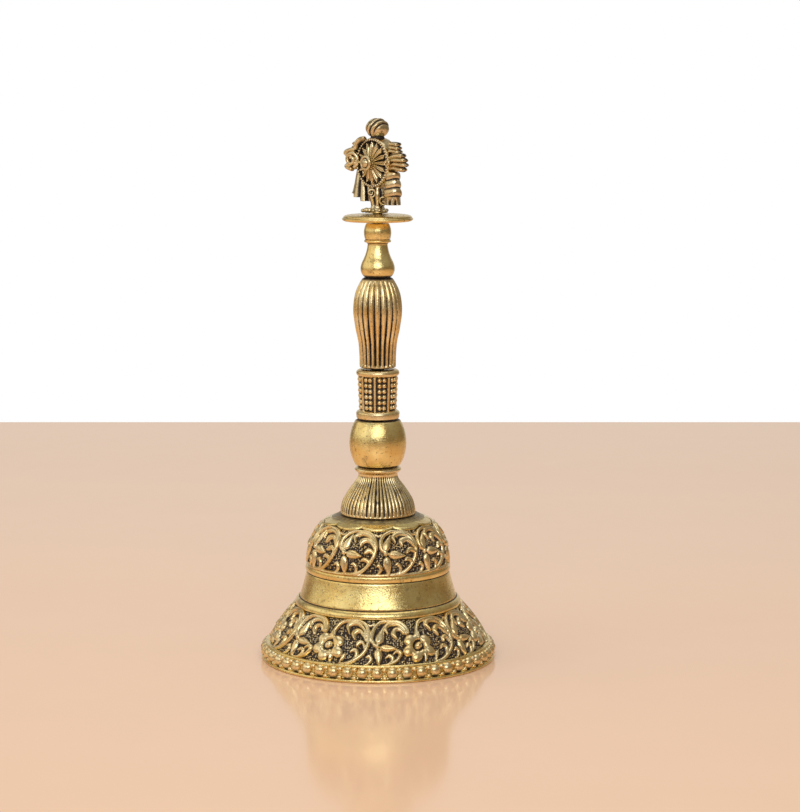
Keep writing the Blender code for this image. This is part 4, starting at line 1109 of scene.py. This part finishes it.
# Studio sizes are in metres. A softbox is given by its place, its aim, width, height, power and colour.
studio = {
    "floorColour": (0.90, 0.62, 0.44), "floorRough": 0.13, "floorBack": 0.532, "floorSide": 2.0,
    "cameraPlace": (0.0073, -0.7728, 0.19245), "cameraPitch": 8.0, "cameraLens": 105.07, "cameraSensor": 36,
    "low": (0.22, 0.165, 0.105), "overhead": (0.40, 0.37, 0.31), "behind": (0.75, 0.72, 0.68),
    "bounce": (0.235, 0.20, 0.17),
    "softboxes": {
        "frontBox": ((0.0, -1.13, 0.70), (0, 0, 0.10), 1.0, 0.7, 5.6, (1, 1, 1)),
        "frontLeft": ((-0.98, -0.82, 0.60), (0, 0, 0.10), 0.85, 0.95, 1.7, (1.0, 0.94, 0.82)),
        "leftFill": ((-1.3, 0.1, 0.6), (0, 0, 0.10), 1.6, 1.0, 3.2, (1.0, 0.90, 0.72)),
        "overhead": ((0.0, 0.15, 1.6), (0, 0, 0), 1.4, 1.2, 5.2, (1, 1, 1)),
    },
}


def makeFloor():
    # A flat sheet with a faint mottle, and a soft sheen like satin laminate.
    mesh = bpy.data.meshes.new("floor")
    side, back = studio["floorSide"], studio["floorBack"]
    corners = [(-side, -side, 0), (side, -side, 0), (side, back, 0), (-side, back, 0)]
    mesh.from_pydata(corners, [], [(0, 1, 2, 3)])
    material = bpy.data.materials.new("floorTop")
    material.use_nodes = True
    tree = material.node_tree
    shader = tree.nodes["Principled BSDF"]
    place = addNode(tree, "ShaderNodeTexCoord").outputs["Object"]
    colour = studio["floorColour"]
    darker = tuple(0.96 * c for c in colour)
    tree.links.new(mixed(tree, noise(tree, place, 30.0), colour, darker), shader.inputs["Base Color"])
    shader.inputs["Roughness"].default_value = studio["floorRough"]
    mesh.materials.append(material)
    floor = bpy.data.objects.new("floor", mesh)
    bpy.context.scene.collection.objects.link(floor)


def addSoftbox(name, place, aim, width, height, power, colour):
    # A soft rectangle of light, turned so that it looks along the line from its place to its aim.
    light = bpy.data.lights.new(name, "AREA")
    light.shape = "RECTANGLE"
    light.size, light.size_y = width, height
    light.energy = power
    light.color = colour
    lamp = bpy.data.objects.new(name, light)
    lamp.location = place
    direction = np.array(aim, float) - np.array(place, float)
    flat = math.hypot(direction[0], direction[1])
    lamp.rotation_euler = (math.atan2(flat, -direction[2]), 0, math.atan2(-direction[0], direction[1]))
    bpy.context.scene.collection.objects.link(lamp)


def makeWorld():
    # White behind the bell. For everything but the camera, a warm room that is lighter overhead and behind.
    # Matt surfaces get an even bounce on top of it.
    world = bpy.data.worlds.new("studio")
    bpy.context.scene.world = world
    world.use_nodes = True
    tree = world.node_tree
    tree.nodes.clear()
    place = addNode(tree, "ShaderNodeTexCoord").outputs["Generated"]
    direction = addNode(tree, "ShaderNodeSeparateXYZ", i0=place)
    path = addNode(tree, "ShaderNodeLightPath").outputs
    room = mixed(tree, between(tree, direction.outputs[2], 0.0, 0.9), studio["low"], studio["overhead"])
    room = mixed(tree, between(tree, direction.outputs[1], 0.75, 0.98), room, studio["behind"])
    bounce = mixed(tree, path["Is Diffuse Ray"], (0, 0, 0), studio["bounce"])
    lit = addNode(tree, "ShaderNodeVectorMath", {"operation": "ADD"}, i0=room, i1=bounce).outputs[0]
    colour = mixed(tree, path["Is Camera Ray"], lit, (1.0, 1.0, 1.0))
    background = addNode(tree, "ShaderNodeBackground", i0=colour, i1=1.0)
    output = tree.nodes.new("ShaderNodeOutputWorld")
    tree.links.new(background.outputs[0], output.inputs[0])


def makeCamera():
    # A long lens from the front, tilted down by the pitch.
    camera = bpy.data.objects.new("camera", bpy.data.cameras.new("camera"))
    camera.data.lens = studio["cameraLens"]
    camera.data.sensor_width = studio["cameraSensor"]
    camera.location = studio["cameraPlace"]
    camera.rotation_euler = (math.radians(90 - studio["cameraPitch"]), 0, 0)
    bpy.context.scene.collection.objects.link(camera)
    bpy.context.scene.camera = camera


makeFloor()
for name, box in studio["softboxes"].items():
    addSoftbox(name, *box)
makeWorld()
makeCamera()
bpy.context.scene.view_settings.view_transform = "Standard"
print("studio ready")
